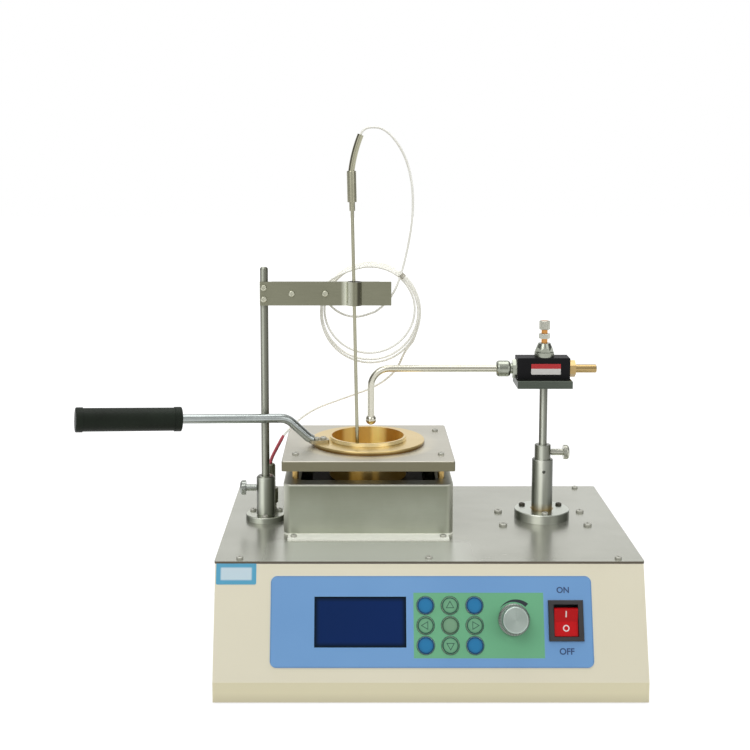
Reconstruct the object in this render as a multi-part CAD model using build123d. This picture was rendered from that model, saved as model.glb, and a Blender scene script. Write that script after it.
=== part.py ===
from build123d import *
import math
import os

# Open-cup flash point tester. Millimetres, +X right, +Y away from the user, +Z up.
# The origin is the centre of the case's footprint, on the plane that the rubber feet stand on.

# ---- case -------------------------------------------------------------------------------------
case_width = 338.6
case_depth = 246.7
case_height = 104.0  # floor to the deck's top face
skirt_height = 17.2  # vertical band under the sloping panel
panel_lean = 30.7  # how far the panel comes forward from top to bottom
sheet = 1.5
rim_width = 11.0  # inward flange that the deck is screwed to
wall_lift = 1.2  # the walls end this far above the floor
pan_lift = 4.0  # height of the rubber feet
pan_flange = 14.0
pan_clearance = 0.3
foot_radius = 9.0
foot_inset = 26.0

# ---- deck -------------------------------------------------------------------------------------
deck_thickness = 2.0
deck_overhang = 0.8
deck_corner = 2.0
deck_screw_inset = 6.0
deck_screw_side = 18.8  # from the deck's side edge
lead_hole_radius = 14.0  # for the heater's leads, inside the heater box

# ---- screws -----------------------------------------------------------------------------------
thread_clearance = 0.05
m3_radius, m3_head_radius, m3_head_height, m3_length = 1.5, 2.75, 1.9, 12.0
m4_radius, m4_head_radius, m4_head_height, m4_length = 2.0, 3.5, 2.2, 9.0
arm_screw_length = 7.0
cup_screw_length = 5.0
nut_radius, nut_height = 3.1, 2.4

# ---- control panel, measured on the slope: across from the centre, down from the deck's edge ---
overlay_width, overlay_height, overlay_thickness = 252.0, 69.4, 0.5
overlay_corner = 5.0
overlay_across, overlay_down = 1.0, 46.3
window_width, window_height = 72.0, 38.5
window_across, window_down = -54.7, 46.6
window_margin = 2.0  # glass hidden behind the overlay on each side
window_thickness = 1.5
key_across, key_down = 15.6, 49.2
key_pitch_across, key_pitch_down = 19.2, 15.1
key_radius = 6.5
key_thickness = 0.9
key_travel = 0.5
key_stem_radius = 2.0
key_stem_length = 9.0
key_gap = 0.3
knob_across, knob_down = 65.4, 44.8
knob_skirt_radius, knob_skirt_height = 12.25, 2.6
knob_radius, knob_height = 10.2, 13.0
knob_gap = 0.8
shaft_radius = 3.0
bush_radius = 4.4
potentiometer_radius, potentiometer_depth = 8.5, 9.0
rocker_margin = 20.8  # rocker's centre to the overlay's right end
rocker_down = 45.5
rocker_frame_width, rocker_frame_height, rocker_frame_thickness = 27.3, 31.2, 2.0
rocker_body_width, rocker_body_height, rocker_body_depth = 24.0, 28.0, 20.0
rocker_width, rocker_reach = 18.4, 10.6
rocker_slot_width, rocker_slot_height, rocker_slot_depth = 19.2, 24.6, 15.0
rocker_pin_radius, rocker_pin_depth = 1.2, 6.0
rocker_tilt = 10.0
board_width, board_height, board_thickness = 180.0, 62.0, 1.6
board_depth = 14.0
display_width, display_height = 88.0, 52.0
display_gap = 0.2

# ---- running fit and ordinary clearance -------------------------------------------------------
running_clearance = 0.05
loose_clearance = 0.3

# ---- test cup ---------------------------------------------------------------------------------
cup_x = -47.8
cup_from_back = 85.5  # cup's axis to the case's back
cup_bore_radius = 31.75
cup_wall = 2.3
cup_flange_radius = 50.0
cup_flange_thickness = 3.5
cup_rim_height = 3.2  # rim above the flange
cup_depth = 33.5
cup_floor = 3.0
cup_corner = 4.0

# ---- heater -----------------------------------------------------------------------------------
heater_width, heater_depth, heater_height = 143.0, 130.8, 43.8
heater_sheet = 1.2
heater_corner = 7.0
heater_lip = 14.0
heater_foot_front, heater_foot_back = 14.0, 9.5
heater_foot_inset = 9.0
plate_width, plate_depth, plate_thickness = 145.4, 134.8, 8.6
plate_edge = 0.8
standoff_height, standoff_radius = 11.8, 2.8
standoff_x, standoff_y = 62.1, 43.7
block_side = 100.0
block_gap = 0.5  # under the cup's floor

# ---- cup handle -------------------------------------------------------------------------------
handle_turn = 17.0  # degrees from -X towards the user
tongue_width, tongue_thickness = 13.0, 2.5
tongue_start = 36.5  # distances from the cup's axis
cup_screw_start, cup_screw_pitch = 40.9, 6.3
handle_radius = 4.0
handle_knee = 73.5
handle_rise = 21.7
handle_slope = 3.3
grip_start, grip_end = 165.5, 253.5
grip_radius, grip_collar_radius, grip_collar = 9.8, 10.4, 6.0

# ---- probe stand ------------------------------------------------------------------------------
post_x = -137.5
post_before_cup = 16.4  # how far the post's axis is in front of the cup's
post_base_radius, post_base_height = 17.5, 4.9
post_screw_circle = 13.4
sleeve_radius, sleeve_top = 8.0, 37.7
post_radius = 3.5
post_top = 222.3
post_below = 40.0  # rod inside the case, so that the stand can be lifted
liner_radius, liner_length, liner_lip, liner_lip_radius = 5.0, 7.0, 0.9, 6.6
post_lock_height = 27.6
lock_thread_radius = 2.0
lock_neck_radius, lock_head_radius, lock_head_thickness = 2.9, 6.3, 5.0
post_lock_reach = 17.3  # post axis to the head's near face

# ---- arm --------------------------------------------------------------------------------------
arm_bottom, arm_height, arm_sheet = 189.3, 20.6, 1.5
arm_left_overhang = 3.4  # past the post's axis
arm_right_overhang = 32.1  # past the probe's axis
arm_back_start, arm_back_overhang = 6.5, 21.8
bulge_radius = 5.25
bush_fit = 0.05
arm_screw_start, arm_screw_pitch = 23.9, 28.8  # from the post's axis
arm_post_screw_spread = 9.8

# ---- probe ------------------------------------------------------------------------------------
probe_offset = -12.1  # probe's axis at the arm, from the cup's axis
probe_tilt = 1.21  # degrees, the top leans to the left
probe_radius = 1.5
probe_tip_above_floor = 6.4
ferrule_low, ferrule_step, ferrule_top = 270.7, 278.2, 304.8
ferrule_small_radius, ferrule_radius = 2.5, 4.0
neck_radius, neck_length = 2.7, 31.6
neck_lean_low, neck_lean_top = 7.0, 22.0  # degrees to the right, at its foot and at its end

# ---- probe lead -------------------------------------------------------------------------------
lead_radius = 1.0
joint_gap = 0.3
socket_shift, socket_behind = 2.2, 25.9  # from the post's axis
socket_radius, socket_flange_radius, socket_flange = 5.5, 7.8, 2.0
plug_ring_low, plug_ring_top, plug_ring_radius = 7.0, 20.4, 7.0
plug_top, plug_shell_radius = 42.7, 4.6
sleeve_tube_radius = 1.5
coil_turns_before, coil_turns_after = 0.344, 3.594
coil_right, coil_below = 14.4, 20.4  # ring's centre from the probe's axis at the arm
coil_radius_first, coil_radius_last = 37.6, 44.4
coil_rise_first = 6.4  # the inner turns hang this much higher
coil_behind, coil_pitch = 11.1, 2.9  # first whole turn behind the post's axis
loop_right, loop_above, loop_radius = 1.6, 8.0, 30.5
loop_forward = 1.2  # keeps the small loop clear of the ring when the probe is raised

# ---- burner stand -----------------------------------------------------------------------------
stand_x = 105.7
stand_before_cup = 11.8
stand_base_radius, stand_base_height = 24.0, 7.7
stand_screw_circle = 18.8
stand_sleeve_radius, stand_sleeve_top = 9.15, 52.5
collar_radius, collar_top = 7.05, 65.3
stand_rod_bottom = 12.8
stand_lock_height = 58.3
stand_lock_reach = 18.1
grub_height, grub_radius, grub_depth = 42.5, 1.5, 4.0

# ---- burner head ------------------------------------------------------------------------------
saddle_width, saddle_depth, saddle_bottom, saddle_thickness = 47.3, 36.0, 118.1, 6.7
saddle_shift = -1.2
valve_width, valve_depth, valve_height = 45.6, 18.4, 18.6
valve_shift = -1.4
port_height = 7.9  # above the saddle
bonnet_base_radius, bonnet_base_height = 8.6, 4.0
bonnet_nut_radius, bonnet_nut_height = 7.9, 7.9
spindle_radius = 2.65
spindle_depth = 6.0
spindle_gap_low, spindle_gap_high = 4.0, 3.5
lock_nut_radius, lock_nut_height = 4.9, 4.4
valve_knob_radius, valve_knob_height = 4.7, 7.6
knurl_count = 20
nozzle_hex_radius, nozzle_hex = 7.4, 5.5
nozzle_radius, nozzle_length, nozzle_bore = 3.65, 18.6, 2.0
fitting_hex_radius, fitting_hex = 8.2, 3.5
fitting_neck_radius, fitting_neck = 4.4, 1.7
fitting_nut_radius, fitting_nut = 7.05, 12.4
tube_radius = 3.0
swing_radius = 150.9
tube_elbow = 16.0
jet_height, jet_radius, jet_hole = 87.5, 4.7, 0.8

# ---- inside the case --------------------------------------------------------------------------
transformer_shift_x, transformer_shift_y = -0.5, -6.6  # from the burner stand's axis
transformer_screw_x, transformer_screw_y = 36.5, 19.7
core_width, core_depth, core_height = 56.0, 44.0, 47.0
core_gap = 5.0
winding_swell = 8.0
bracket_sheet = 1.5
bracket_tab = 12.0
main_board_width, main_board_depth = 150.0, 80.0
main_board_x, main_board_y, main_board_lift = -20.0, 40.0, 8.0
inlet_x, inlet_z = 95.0, 40.0
inlet_width, inlet_height, inlet_depth = 27.6, 31.0, 24.0
inlet_flange_width, inlet_flange_height, inlet_flange = 50.0, 36.0, 2.5

# ---- values that follow -----------------------------------------------------------------------
deck_top = case_height
deck_low = case_height - deck_thickness
front_y = -case_depth / 2
back_y = case_depth / 2
panel_top_y = front_y + panel_lean
cup_y = back_y - cup_from_back
post_y = cup_y - post_before_cup
stand_y = cup_y - stand_before_cup
rocker_across = overlay_across + overlay_width / 2 - rocker_margin
panel_angle = math.degrees(math.atan2(panel_lean, case_height - skirt_height))
panel = Plane(
    origin=(0, panel_top_y, deck_top),
    x_dir=(1, 0, 0),
    z_dir=(0, -math.cos(math.radians(panel_angle)), math.sin(math.radians(panel_angle))),
)
heater_top = deck_top + heater_height
plate_low = heater_top + standoff_height
plate_top = plate_low + plate_thickness
flange_top = plate_top + cup_flange_thickness
rim_top = flange_top + cup_rim_height
cup_radius = cup_bore_radius + cup_wall
cup_inside_floor = rim_top - cup_depth
cup_bottom = cup_inside_floor - cup_floor
arm_low = deck_top + arm_bottom
arm_middle = arm_low + arm_height / 2
arm_plane_y = post_y - post_radius
strip_front_y = arm_plane_y - arm_sheet
saddle_low = deck_top + saddle_bottom
valve_low = saddle_low + saddle_thickness
valve_top = valve_low + valve_height
port_z = valve_low + port_height
valve_left = stand_x + valve_shift - valve_width / 2
valve_right = valve_left + valve_width
jet_x = stand_x - swing_radius
transformer_x, transformer_y = stand_x + transformer_shift_x, stand_y + transformer_shift_y
bracket_reach = core_width / 2 + bracket_sheet + bracket_tab + 2.0  # from the transformer's middle
bracket_half = core_depth / 2 + 4.0
socket_x, socket_y = post_x + socket_shift, post_y + socket_behind
probe_at_arm_x = cup_x + probe_offset
arm_right = probe_at_arm_x + arm_right_overhang
arm_screw_x = (post_x + arm_screw_start, post_x + arm_screw_start + arm_screw_pitch)
coil_centre_x, coil_front_y = probe_at_arm_x + coil_right, post_y + coil_behind
key_columns = [key_across + key_pitch_across * i for i in (-1, 0, 1)]
key_rows = [key_down + key_pitch_down * i for i in (-1, 0, 1)]
key_names = [
    ["key_top_left", "key_up", "key_top_right"],
    ["key_left", "key_centre", "key_right"],
    ["key_bottom_left", "key_down", "key_bottom_right"],
]


# ---- helpers ----------------------------------------------------------------------------------
def drum(radius, low, high, x=0.0, y=0.0):
    """Upright cylinder between two heights."""
    return Pos(x, y, low) * Cylinder(radius, high - low, align=(Align.CENTER, Align.CENTER, Align.MIN))


def bar_x(radius, start, end, y, z):
    """Cylinder along X from start to end."""
    return Pos(start, y, z) * Rot(0, 90, 0) * Cylinder(
        radius, end - start, align=(Align.CENTER, Align.CENTER, Align.MIN)
    )


def slab(x0, x1, y0, y1, z0, z1):
    """Box between two corners."""
    return Pos((x0 + x1) / 2, (y0 + y1) / 2, (z0 + z1) / 2) * Box(x1 - x0, y1 - y0, z1 - z0)


def on_panel(across, down, height=0.0):
    """Place on the sloping panel: height stands out of its face."""
    return panel * Pos(across, -down, height)


def panel_slab(across, down, width, height, low, high):
    """Box square to the panel, between two heights above its face."""
    return on_panel(across, down, (low + high) / 2) * Box(width, height, high - low)


def panel_drum(across, down, radius, low, high):
    return on_panel(across, down, low) * Cylinder(
        radius, high - low, align=(Align.CENTER, Align.CENTER, Align.MIN)
    )


def hex_prism(radius, height):
    """Hexagonal prism from z 0 up, its corners at the radius."""
    return extrude(RegularPolygon(radius, 6), height)


def pan_screw(shank_radius, head_radius, head_height, length):
    """Round-headed cross screw: the head stands above z 0, the shank goes down."""
    head = drum(head_radius, 0, head_height)
    head = fillet(head.edges().group_by(Axis.Z)[-1], head_height * 0.55)
    slot = slab(-head_radius * 0.55, head_radius * 0.55, -0.35, 0.35, head_height * 0.5, head_height + 1)
    return head + drum(shank_radius, -length, 0) - slot - Rot(0, 0, 90) * slot


def around(count, radius, start=0.0):
    """Places on a circle, the first at the start angle in degrees."""
    for i in range(count):
        angle = math.radians(start + 360.0 * i / count)
        yield radius * math.cos(angle), radius * math.sin(angle)


def thumb_screw(thread_start, reach, neck_start):
    """Thumb screw along +X from its axis' origin: thread, neck and domed head."""
    thread = bar_x(lock_thread_radius, thread_start, neck_start, 0, 0)
    neck = bar_x(lock_neck_radius, neck_start, reach, 0, 0)
    head = bar_x(lock_head_radius, reach, reach + lock_head_thickness, 0, 0)
    head = fillet(head.edges().group_by(Axis.X)[-1], lock_head_thickness * 0.45)
    for y, z in around(16, lock_head_radius):
        head -= bar_x(0.45, reach - 1, reach + lock_head_thickness * 0.6, y, z)
    return thread + neck + head


# ---- screw places -----------------------------------------------------------------------------
def deck_screw_places():
    side = case_width / 2 - deck_screw_side
    for x in (-side, 0.0, side):
        for y in (panel_top_y + deck_screw_inset, back_y - deck_screw_inset):
            yield x, y


def heater_foot_places():
    front = cup_y - heater_depth / 2 - heater_foot_front / 2
    back = cup_y + heater_depth / 2 + heater_foot_back / 2
    for x in (-1, 1):
        for y in (front, back):
            yield cup_x + x * (heater_width / 2 - heater_foot_inset), y


def post_screw_places():
    """Three screws on each round base, one of them towards the user."""
    for x, y in around(3, post_screw_circle, -90):
        yield post_x + x, post_y + y, post_base_height
    for x, y in around(3, stand_screw_circle, -90):
        yield stand_x + x, stand_y + y, stand_base_height


def plate_screw_places():
    for x in (-standoff_x, standoff_x):
        for y in (-standoff_y, standoff_y):
            yield cup_x + x, cup_y + y


def pan_screw_places():
    """Side screws of the base pan: X side, Y, Z."""
    for side in (-1, 1):
        for y in (front_y + 45, back_y - 45):
            yield side, y, pan_lift + pan_flange / 2 + 1


def side_hole(side, y, z):
    """Screw hole through the wall on one side and the pan's flange inside it."""
    centre = side * case_width / 2
    return bar_x(m3_radius + thread_clearance, centre - 5, centre + 5, y, z)


def transformer_screw_places():
    for x in (-transformer_screw_x, transformer_screw_x):
        for y in (-transformer_screw_y, transformer_screw_y):
            yield transformer_x + x, transformer_y + y


# ---- case -------------------------------------------------------------------------------------
def case_profile():
    """Side view of the case on the YZ plane, walls only, under the deck."""
    run = (deck_top - deck_low) * math.tan(math.radians(panel_angle))
    outline = Polyline(
        (front_y, wall_lift),
        (front_y, skirt_height),
        (panel_top_y - run, deck_low),
        (back_y, deck_low),
        (back_y, wall_lift),
        close=True,
    )
    return make_face(Plane.YZ * outline)


def case_shell():
    profile = case_profile()
    outer = extrude(profile, case_width / 2, both=True)
    inner = extrude(
        offset(profile, -sheet, kind=Kind.INTERSECTION), case_width / 2 - sheet, both=True
    )
    inside = case_width / 2 - rim_width
    shell = outer - inner
    shell -= slab(-inside, inside, panel_top_y + rim_width, back_y - rim_width, deck_low - 3, deck_low + 1)
    reach = case_width / 2 - sheet
    shell -= slab(-reach, reach, front_y + sheet, back_y - sheet, wall_lift - 1, wall_lift + 2 * sheet)
    for x, y in deck_screw_places():
        shell -= drum(m3_radius + thread_clearance, deck_low - 5, deck_low + 1, x, y)
    for x, y, _ in post_screw_places():
        shell -= drum(m3_radius + thread_clearance, deck_low - 5, deck_low + 1, x, y)
    # the rim gives way to the transformer's bracket
    shell -= slab(
        transformer_x - bracket_reach - pan_clearance, transformer_x + bracket_reach + pan_clearance,
        transformer_y - bracket_half - pan_clearance, transformer_y + bracket_half + pan_clearance,
        deck_low - bracket_sheet - pan_clearance, deck_low + 1,
    )
    for side, y, z in pan_screw_places():
        shell -= side_hole(side, y, z)
    shell -= panel_openings(-sheet - 1, 1)
    shell -= slab(
        inlet_x - inlet_width / 2 - pan_clearance, inlet_x + inlet_width / 2 + pan_clearance,
        back_y - sheet - 1, back_y + 1,
        inlet_z - inlet_height / 2 - pan_clearance, inlet_z + inlet_height / 2 + pan_clearance,
    )
    return shell


def panel_openings(low, high):
    """What is cut through the case's panel, between two heights above its face."""
    glass_width = window_width + 2 * window_margin + 2 * pan_clearance
    glass_height = window_height + 2 * window_margin + 2 * pan_clearance
    cuts = panel_slab(window_across, window_down, glass_width, glass_height, low, high)
    for across in key_columns:
        for down in key_rows:
            cuts += panel_drum(across, down, key_stem_radius + key_gap, low, high)
    cuts += panel_drum(knob_across, knob_down, bush_radius + thread_clearance, low, high)
    cuts += panel_slab(
        rocker_across, rocker_down,
        rocker_body_width + 2 * thread_clearance, rocker_body_height + 2 * thread_clearance, low, high,
    )
    return cuts


def base_pan():
    """Tray inside the walls' lower edge, on its rubber feet."""
    width = case_width - 2 * sheet - 2 * pan_clearance
    depth = case_depth - 2 * sheet - 2 * pan_clearance
    low, high = pan_lift, pan_lift + pan_flange
    # the front flange stays below the slope
    tray = slab(-width / 2, width / 2, -depth / 2, depth / 2, low, high)
    tray -= slab(
        -width / 2 + sheet, width / 2 - sheet, -depth / 2 + sheet, depth / 2 - sheet, low + sheet, high + 1
    )
    tray -= slab(-width, width, -depth, -depth / 2 + sheet + 1, skirt_height - 6, high + 1)
    for side, y, z in pan_screw_places():
        tray -= side_hole(side, y, z)
    return tray


def rubber_feet():
    feet = []
    for x in (-1, 1):
        for y in (-1, 1):
            foot = drum(
                foot_radius, 0, pan_lift, x * (case_width / 2 - foot_inset), y * (case_depth / 2 - foot_inset)
            )
            feet.append(chamfer(foot.edges().group_by(Axis.Z)[0], 0.8))
    return Compound(feet)


def deck_plate():
    half = case_width / 2 + deck_overhang
    plate = slab(-half, half, panel_top_y - deck_overhang, back_y + deck_overhang, deck_low, deck_top)
    plate = fillet(plate.edges().filter_by(Axis.Z), deck_corner)
    low, high = deck_low - 1, deck_top + 1
    for x, y in deck_screw_places():
        plate -= drum(m3_radius + thread_clearance, low, high, x, y)
    for x, y in heater_foot_places():
        plate -= drum(m3_radius + thread_clearance, low, high, x, y)
    for x, y, _ in post_screw_places():
        plate -= drum(m3_radius + thread_clearance, low, high, x, y)
    for x, y in transformer_screw_places():
        plate -= drum(m4_radius + thread_clearance, low, high, x, y)
    plate -= drum(post_radius + loose_clearance, low, high, post_x, post_y)
    plate -= drum(socket_radius + thread_clearance, low, high, socket_x, socket_y)
    plate -= drum(lead_hole_radius, low, high, cup_x, cup_y + block_side / 2 - lead_hole_radius)
    return plate


def m3_screws():
    """Every M3 screw of the case, deck, bases and heater, as one group."""
    one = pan_screw(m3_radius, m3_head_radius, m3_head_height, m3_length)
    group = [Pos(x, y, deck_top) * one for x, y in deck_screw_places()]
    group += [Pos(x, y, deck_top + heater_sheet) * one for x, y in heater_foot_places()]
    group += [Pos(x, y, deck_top + height) * one for x, y, height in post_screw_places()]
    group += [Pos(x, y, plate_top) * one for x, y in plate_screw_places()]
    for side, y, z in pan_screw_places():
        group.append(Pos(side * case_width / 2, y, z) * Rot(0, 90 * side, 0) * one)
    return Compound(group)


def m4_screws():
    one = pan_screw(m4_radius, m4_head_radius, m4_head_height, m4_length)
    return Compound([Pos(x, y, deck_top) * one for x, y in transformer_screw_places()])


# ---- control panel ----------------------------------------------------------------------------
def front_overlay():
    film = panel_slab(overlay_across, overlay_down, overlay_width, overlay_height, 0, overlay_thickness)
    corners = film.edges().filter_by(Axis((0, 0, 0), tuple(panel.z_dir)))
    film = fillet(corners, overlay_corner)
    low, high = -1, overlay_thickness + 1
    film -= panel_slab(window_across, window_down, window_width, window_height, low, high)
    for across in key_columns:
        for down in key_rows:
            film -= panel_drum(across, down, key_radius + key_gap, low, high)
    film -= panel_drum(knob_across, knob_down, bush_radius + thread_clearance, low, high)
    film -= panel_slab(
        rocker_across, rocker_down,
        rocker_body_width + 2 * thread_clearance, rocker_body_height + 2 * thread_clearance, low, high,
    )
    return film


def display_window():
    return panel_slab(
        window_across, window_down,
        window_width + 2 * window_margin, window_height + 2 * window_margin, -window_thickness, 0,
    )


def keys():
    """Nine round caps in the overlay's holes, each with a stem towards its switch."""
    low = key_travel + 0.1
    for row, down in enumerate(key_rows):
        for column, across in enumerate(key_columns):
            cap = panel_drum(across, down, key_radius, low, low + key_thickness)
            cap = fillet(cap.edges().sort_by(Axis((0, 0, 0), tuple(panel.z_dir)))[-1], 0.4)
            stem = panel_drum(across, down, key_stem_radius, -key_stem_length, low)
            yield key_names[row][column], cap + stem


def control_knob():
    base = overlay_thickness + knob_gap
    skirt = panel_drum(knob_across, knob_down, knob_skirt_radius, base, base + knob_skirt_height)
    cap = panel_drum(knob_across, knob_down, knob_radius, base + knob_skirt_height, base + knob_height)
    outward = Axis((0, 0, 0), tuple(panel.z_dir))
    skirt = chamfer(skirt.edges().sort_by(outward)[-1], 0.8)
    cap = fillet(cap.edges().sort_by(outward)[-1], 1.2)
    for x, y in around(24, knob_radius + 0.15):
        cap -= on_panel(knob_across + x, knob_down - y, base + knob_skirt_height) * Cylinder(
            0.5, knob_height, align=(Align.CENTER, Align.CENTER, Align.MIN)
        )
    pointer = on_panel(knob_across, knob_down - knob_radius * 0.55, base + knob_height) * Box(
        1.2, knob_radius * 0.7, 0.8
    )
    shaft = panel_drum(knob_across, knob_down, shaft_radius, -potentiometer_depth, base)
    return skirt + cap + shaft - pointer


def potentiometer():
    """Housing behind the panel, with the threaded bush that the shaft turns in."""
    back = -sheet - potentiometer_depth
    housing = panel_drum(knob_across, knob_down, potentiometer_radius, back - 2, -sheet)
    housing += panel_drum(knob_across, knob_down, bush_radius, -sheet, overlay_thickness)
    housing -= panel_drum(
        knob_across, knob_down, shaft_radius + running_clearance,
        -potentiometer_depth - 0.3, overlay_thickness + 1,
    )
    return housing


def rocker_body():
    """Switch housing clipped into the panel, with its frame and the slot that the rocker sits in."""
    face = overlay_thickness
    frame = panel_slab(
        rocker_across, rocker_down, rocker_frame_width, rocker_frame_height,
        face, face + rocker_frame_thickness,
    )
    outward = Axis((0, 0, 0), tuple(panel.z_dir))
    frame = chamfer(frame.edges().group_by(outward)[-1], 0.7)
    housing = panel_slab(
        rocker_across, rocker_down, rocker_body_width, rocker_body_height, -rocker_body_depth, face
    )
    slot = panel_slab(
        rocker_across, rocker_down, rocker_slot_width, rocker_slot_height,
        -rocker_slot_depth, face + rocker_frame_thickness + 1,
    )
    pin = on_panel(rocker_across, rocker_down, -rocker_pin_depth) * Rot(0, 90, 0) * Cylinder(
        rocker_pin_radius + running_clearance, rocker_slot_width + 3.0
    )
    return frame + housing - slot - pin


def rocker_paddle():
    """Two faces that meet in a shallow valley, tilted with the lower half pressed in."""
    top = overlay_thickness + rocker_frame_thickness
    reach = rocker_reach
    outline = Polyline(
        (-reach, top), (0, top - 1.6), (reach, top), (reach, top - 5.0), (2.2, -rocker_pin_depth - 3.0),
        (-2.2, -rocker_pin_depth - 3.0), (-reach, top - 5.0), close=True,
    )
    # across the slope the outline is drawn along the slope and out of it
    side = Plane(origin=(0, 0, 0), x_dir=(0, 1, 0), z_dir=(1, 0, 0))
    body = extrude(make_face(side * outline), rocker_width / 2, both=True)
    pin = Rot(0, 90, 0) * Cylinder(rocker_pin_radius, rocker_slot_width + 2.0)
    body += Pos(0, 0, -rocker_pin_depth) * pin
    turned = Pos(0, 0, -rocker_pin_depth) * Rot(rocker_tilt, 0, 0) * Pos(0, 0, rocker_pin_depth) * body
    return on_panel(rocker_across, rocker_down) * turned


def circuit_boards():
    """Panel board with its display, the knob's potentiometer, and the main board on posts in the pan."""
    board_across = (overlay_across + window_across) / 2
    front_board = panel_slab(
        board_across, overlay_down, board_width, board_height,
        -board_depth - board_thickness, -board_depth,
    )
    front_board -= panel_drum(
        knob_across, knob_down, potentiometer_radius + 1, -board_depth - 5, -board_depth + 5
    )
    display = panel_slab(
        window_across, window_down, display_width, display_height,
        -board_depth, -window_thickness - display_gap,
    )
    x0, x1 = main_board_x - main_board_width / 2, main_board_x + main_board_width / 2
    y0, y1 = main_board_y - main_board_depth / 2, main_board_y + main_board_depth / 2
    floor = pan_lift + sheet
    low = floor + main_board_lift
    main = slab(x0, x1, y0, y1, low, low + board_thickness)
    for x in (x0 + 5, x1 - 5):
        for y in (y0 + 5, y1 - 5):
            main += drum(3.0, floor, low, x, y)
    top = low + board_thickness
    main += slab(x0 + 12, x0 + 42, y0 + 10, y0 + 50, top, top + 22)
    main += drum(9, top, top + 25, x0 + 70, y0 + 25)
    main += drum(9, top, top + 25, x0 + 92, y0 + 25)
    main += slab(x0 + 60, x0 + 100, y1 - 30, y1 - 8, top, top + 10)
    return Compound([front_board + display, potentiometer(), main])


# ---- heater -----------------------------------------------------------------------------------
def heater_box():
    """Folded sheet box: rounded corners, lip folded in at the top, feet folded out at front and back."""
    half_x, half_y = heater_width / 2, heater_depth / 2
    walls = extrude(RectangleRounded(heater_width, heater_depth, heater_corner), heater_height)
    hollow = extrude(
        RectangleRounded(
            heater_width - 2 * heater_sheet, heater_depth - 2 * heater_sheet, heater_corner - heater_sheet
        ),
        heater_height - heater_sheet,
    )
    mouth = Pos(0, 0, heater_height - 2 * heater_sheet) * extrude(
        Rectangle(heater_width - 2 * heater_lip, heater_depth - 2 * heater_lip), 3 * heater_sheet
    )
    box = walls - hollow - mouth
    top_edges = box.edges().group_by(Axis.Z)[-1].filter_by(
        lambda e: e.center().length > 0 and (abs(e.center().X) > half_x - 4 or abs(e.center().Y) > half_y - 4)
    )
    box = fillet(top_edges, 0.8)
    foot_half = half_x - heater_corner * 0.6
    for side in (-1, 1):
        near, far = half_y - heater_corner, half_y + (heater_foot_front if side < 0 else heater_foot_back)
        low_y, high_y = (near, far) if side > 0 else (-far, -near)
        foot = slab(-foot_half, foot_half, low_y, high_y, 0, heater_sheet)
        foot -= slab(
            -half_x + heater_sheet, half_x - heater_sheet,
            -half_y + heater_sheet, half_y - heater_sheet, -1, heater_sheet + 1,
        )
        box += foot
    box = Pos(cup_x, cup_y, deck_top) * box
    for x, y in heater_foot_places():
        box -= drum(m3_radius + thread_clearance, deck_top - 1, deck_top + 5, x, y)
    for x, y in plate_screw_places():
        box -= drum(m3_radius + thread_clearance, heater_top - 3, heater_top + 1, x, y)
    return box


def heater_block():
    """Black heating block that stands on the deck inside the box, just under the cup."""
    half = block_side / 2
    top = cup_bottom - block_gap
    block = slab(cup_x - half, cup_x + half, cup_y - half, cup_y + half, deck_top, top)
    block = chamfer(block.edges().group_by(Axis.Z)[-1], 1.5)
    for radius in (14.0, 22.0, 30.0):
        groove = drum(radius, top - 2.5, top + 1, cup_x, cup_y)
        block -= groove - drum(radius - 3.0, top - 2.5, top + 1, cup_x, cup_y)
    return block


def heater_standoffs():
    group = []
    for x, y in plate_screw_places():
        post = drum(standoff_radius, heater_top, plate_low, x, y)
        group.append(post - drum(m3_radius + thread_clearance, heater_top - 1, plate_low + 1, x, y))
    return Compound(group)


def heater_plate():
    outline = RectangleRounded(plate_width, plate_depth, 2.0)
    plate = Pos(cup_x, cup_y, plate_low) * extrude(outline, plate_thickness)
    plate = chamfer(plate.edges().group_by(Axis.Z)[-1], plate_edge)
    plate -= drum(cup_radius + loose_clearance, plate_low - 1, plate_top + 1, cup_x, cup_y)
    for x, y in plate_screw_places():
        plate -= drum(m3_radius + thread_clearance, plate_low - 1, plate_top + 1, x, y)
    return plate


# ---- test cup ---------------------------------------------------------------------------------
def test_cup():
    body = drum(cup_radius, cup_bottom, rim_top, cup_x, cup_y)
    body = fillet(body.edges().group_by(Axis.Z)[0], 2.0)
    flange = drum(cup_flange_radius, plate_top, flange_top, cup_x, cup_y)
    flange = fillet(flange.edges().group_by(Axis.Z)[-1], 0.5)
    bore = drum(cup_bore_radius, cup_inside_floor, rim_top + 1, cup_x, cup_y)
    bore = fillet(bore.edges().group_by(Axis.Z)[0], cup_corner)
    cup = body + flange - bore
    turn = Pos(cup_x, cup_y, 0) * Rot(0, 0, 180 + handle_turn)
    for distance in cup_screw_distances():
        hole = drum(m3_radius + thread_clearance, plate_top + 0.8, flange_top + 1)
        cup -= turn * Pos(distance, 0, 0) * hole
    return cup


def cup_screw_distances():
    return cup_screw_start, cup_screw_start + cup_screw_pitch


def handle_frame():
    """Frame on the cup's axis with +X along the handle."""
    return Pos(cup_x, cup_y, 0) * Rot(0, 0, 180 + handle_turn)


def handle_route():
    """Centre line of the handle rod: distance from the cup's axis and height."""
    low = flange_top + tongue_thickness / 2
    start = cup_flange_radius + 1.0
    end = grip_end - 12.0
    return [
        (start, low + 1.4),
        (start + 3.5, low + 3.4),
        (handle_knee, handle_line_height(handle_knee)),
        (end, handle_line_height(end)),
    ]


def handle_line_height(distance):
    """Height of the rod's straight stretch at a distance from the cup's axis."""
    low = flange_top + tongue_thickness / 2 + handle_rise
    return low + (distance - handle_knee) * math.tan(math.radians(handle_slope))


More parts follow.
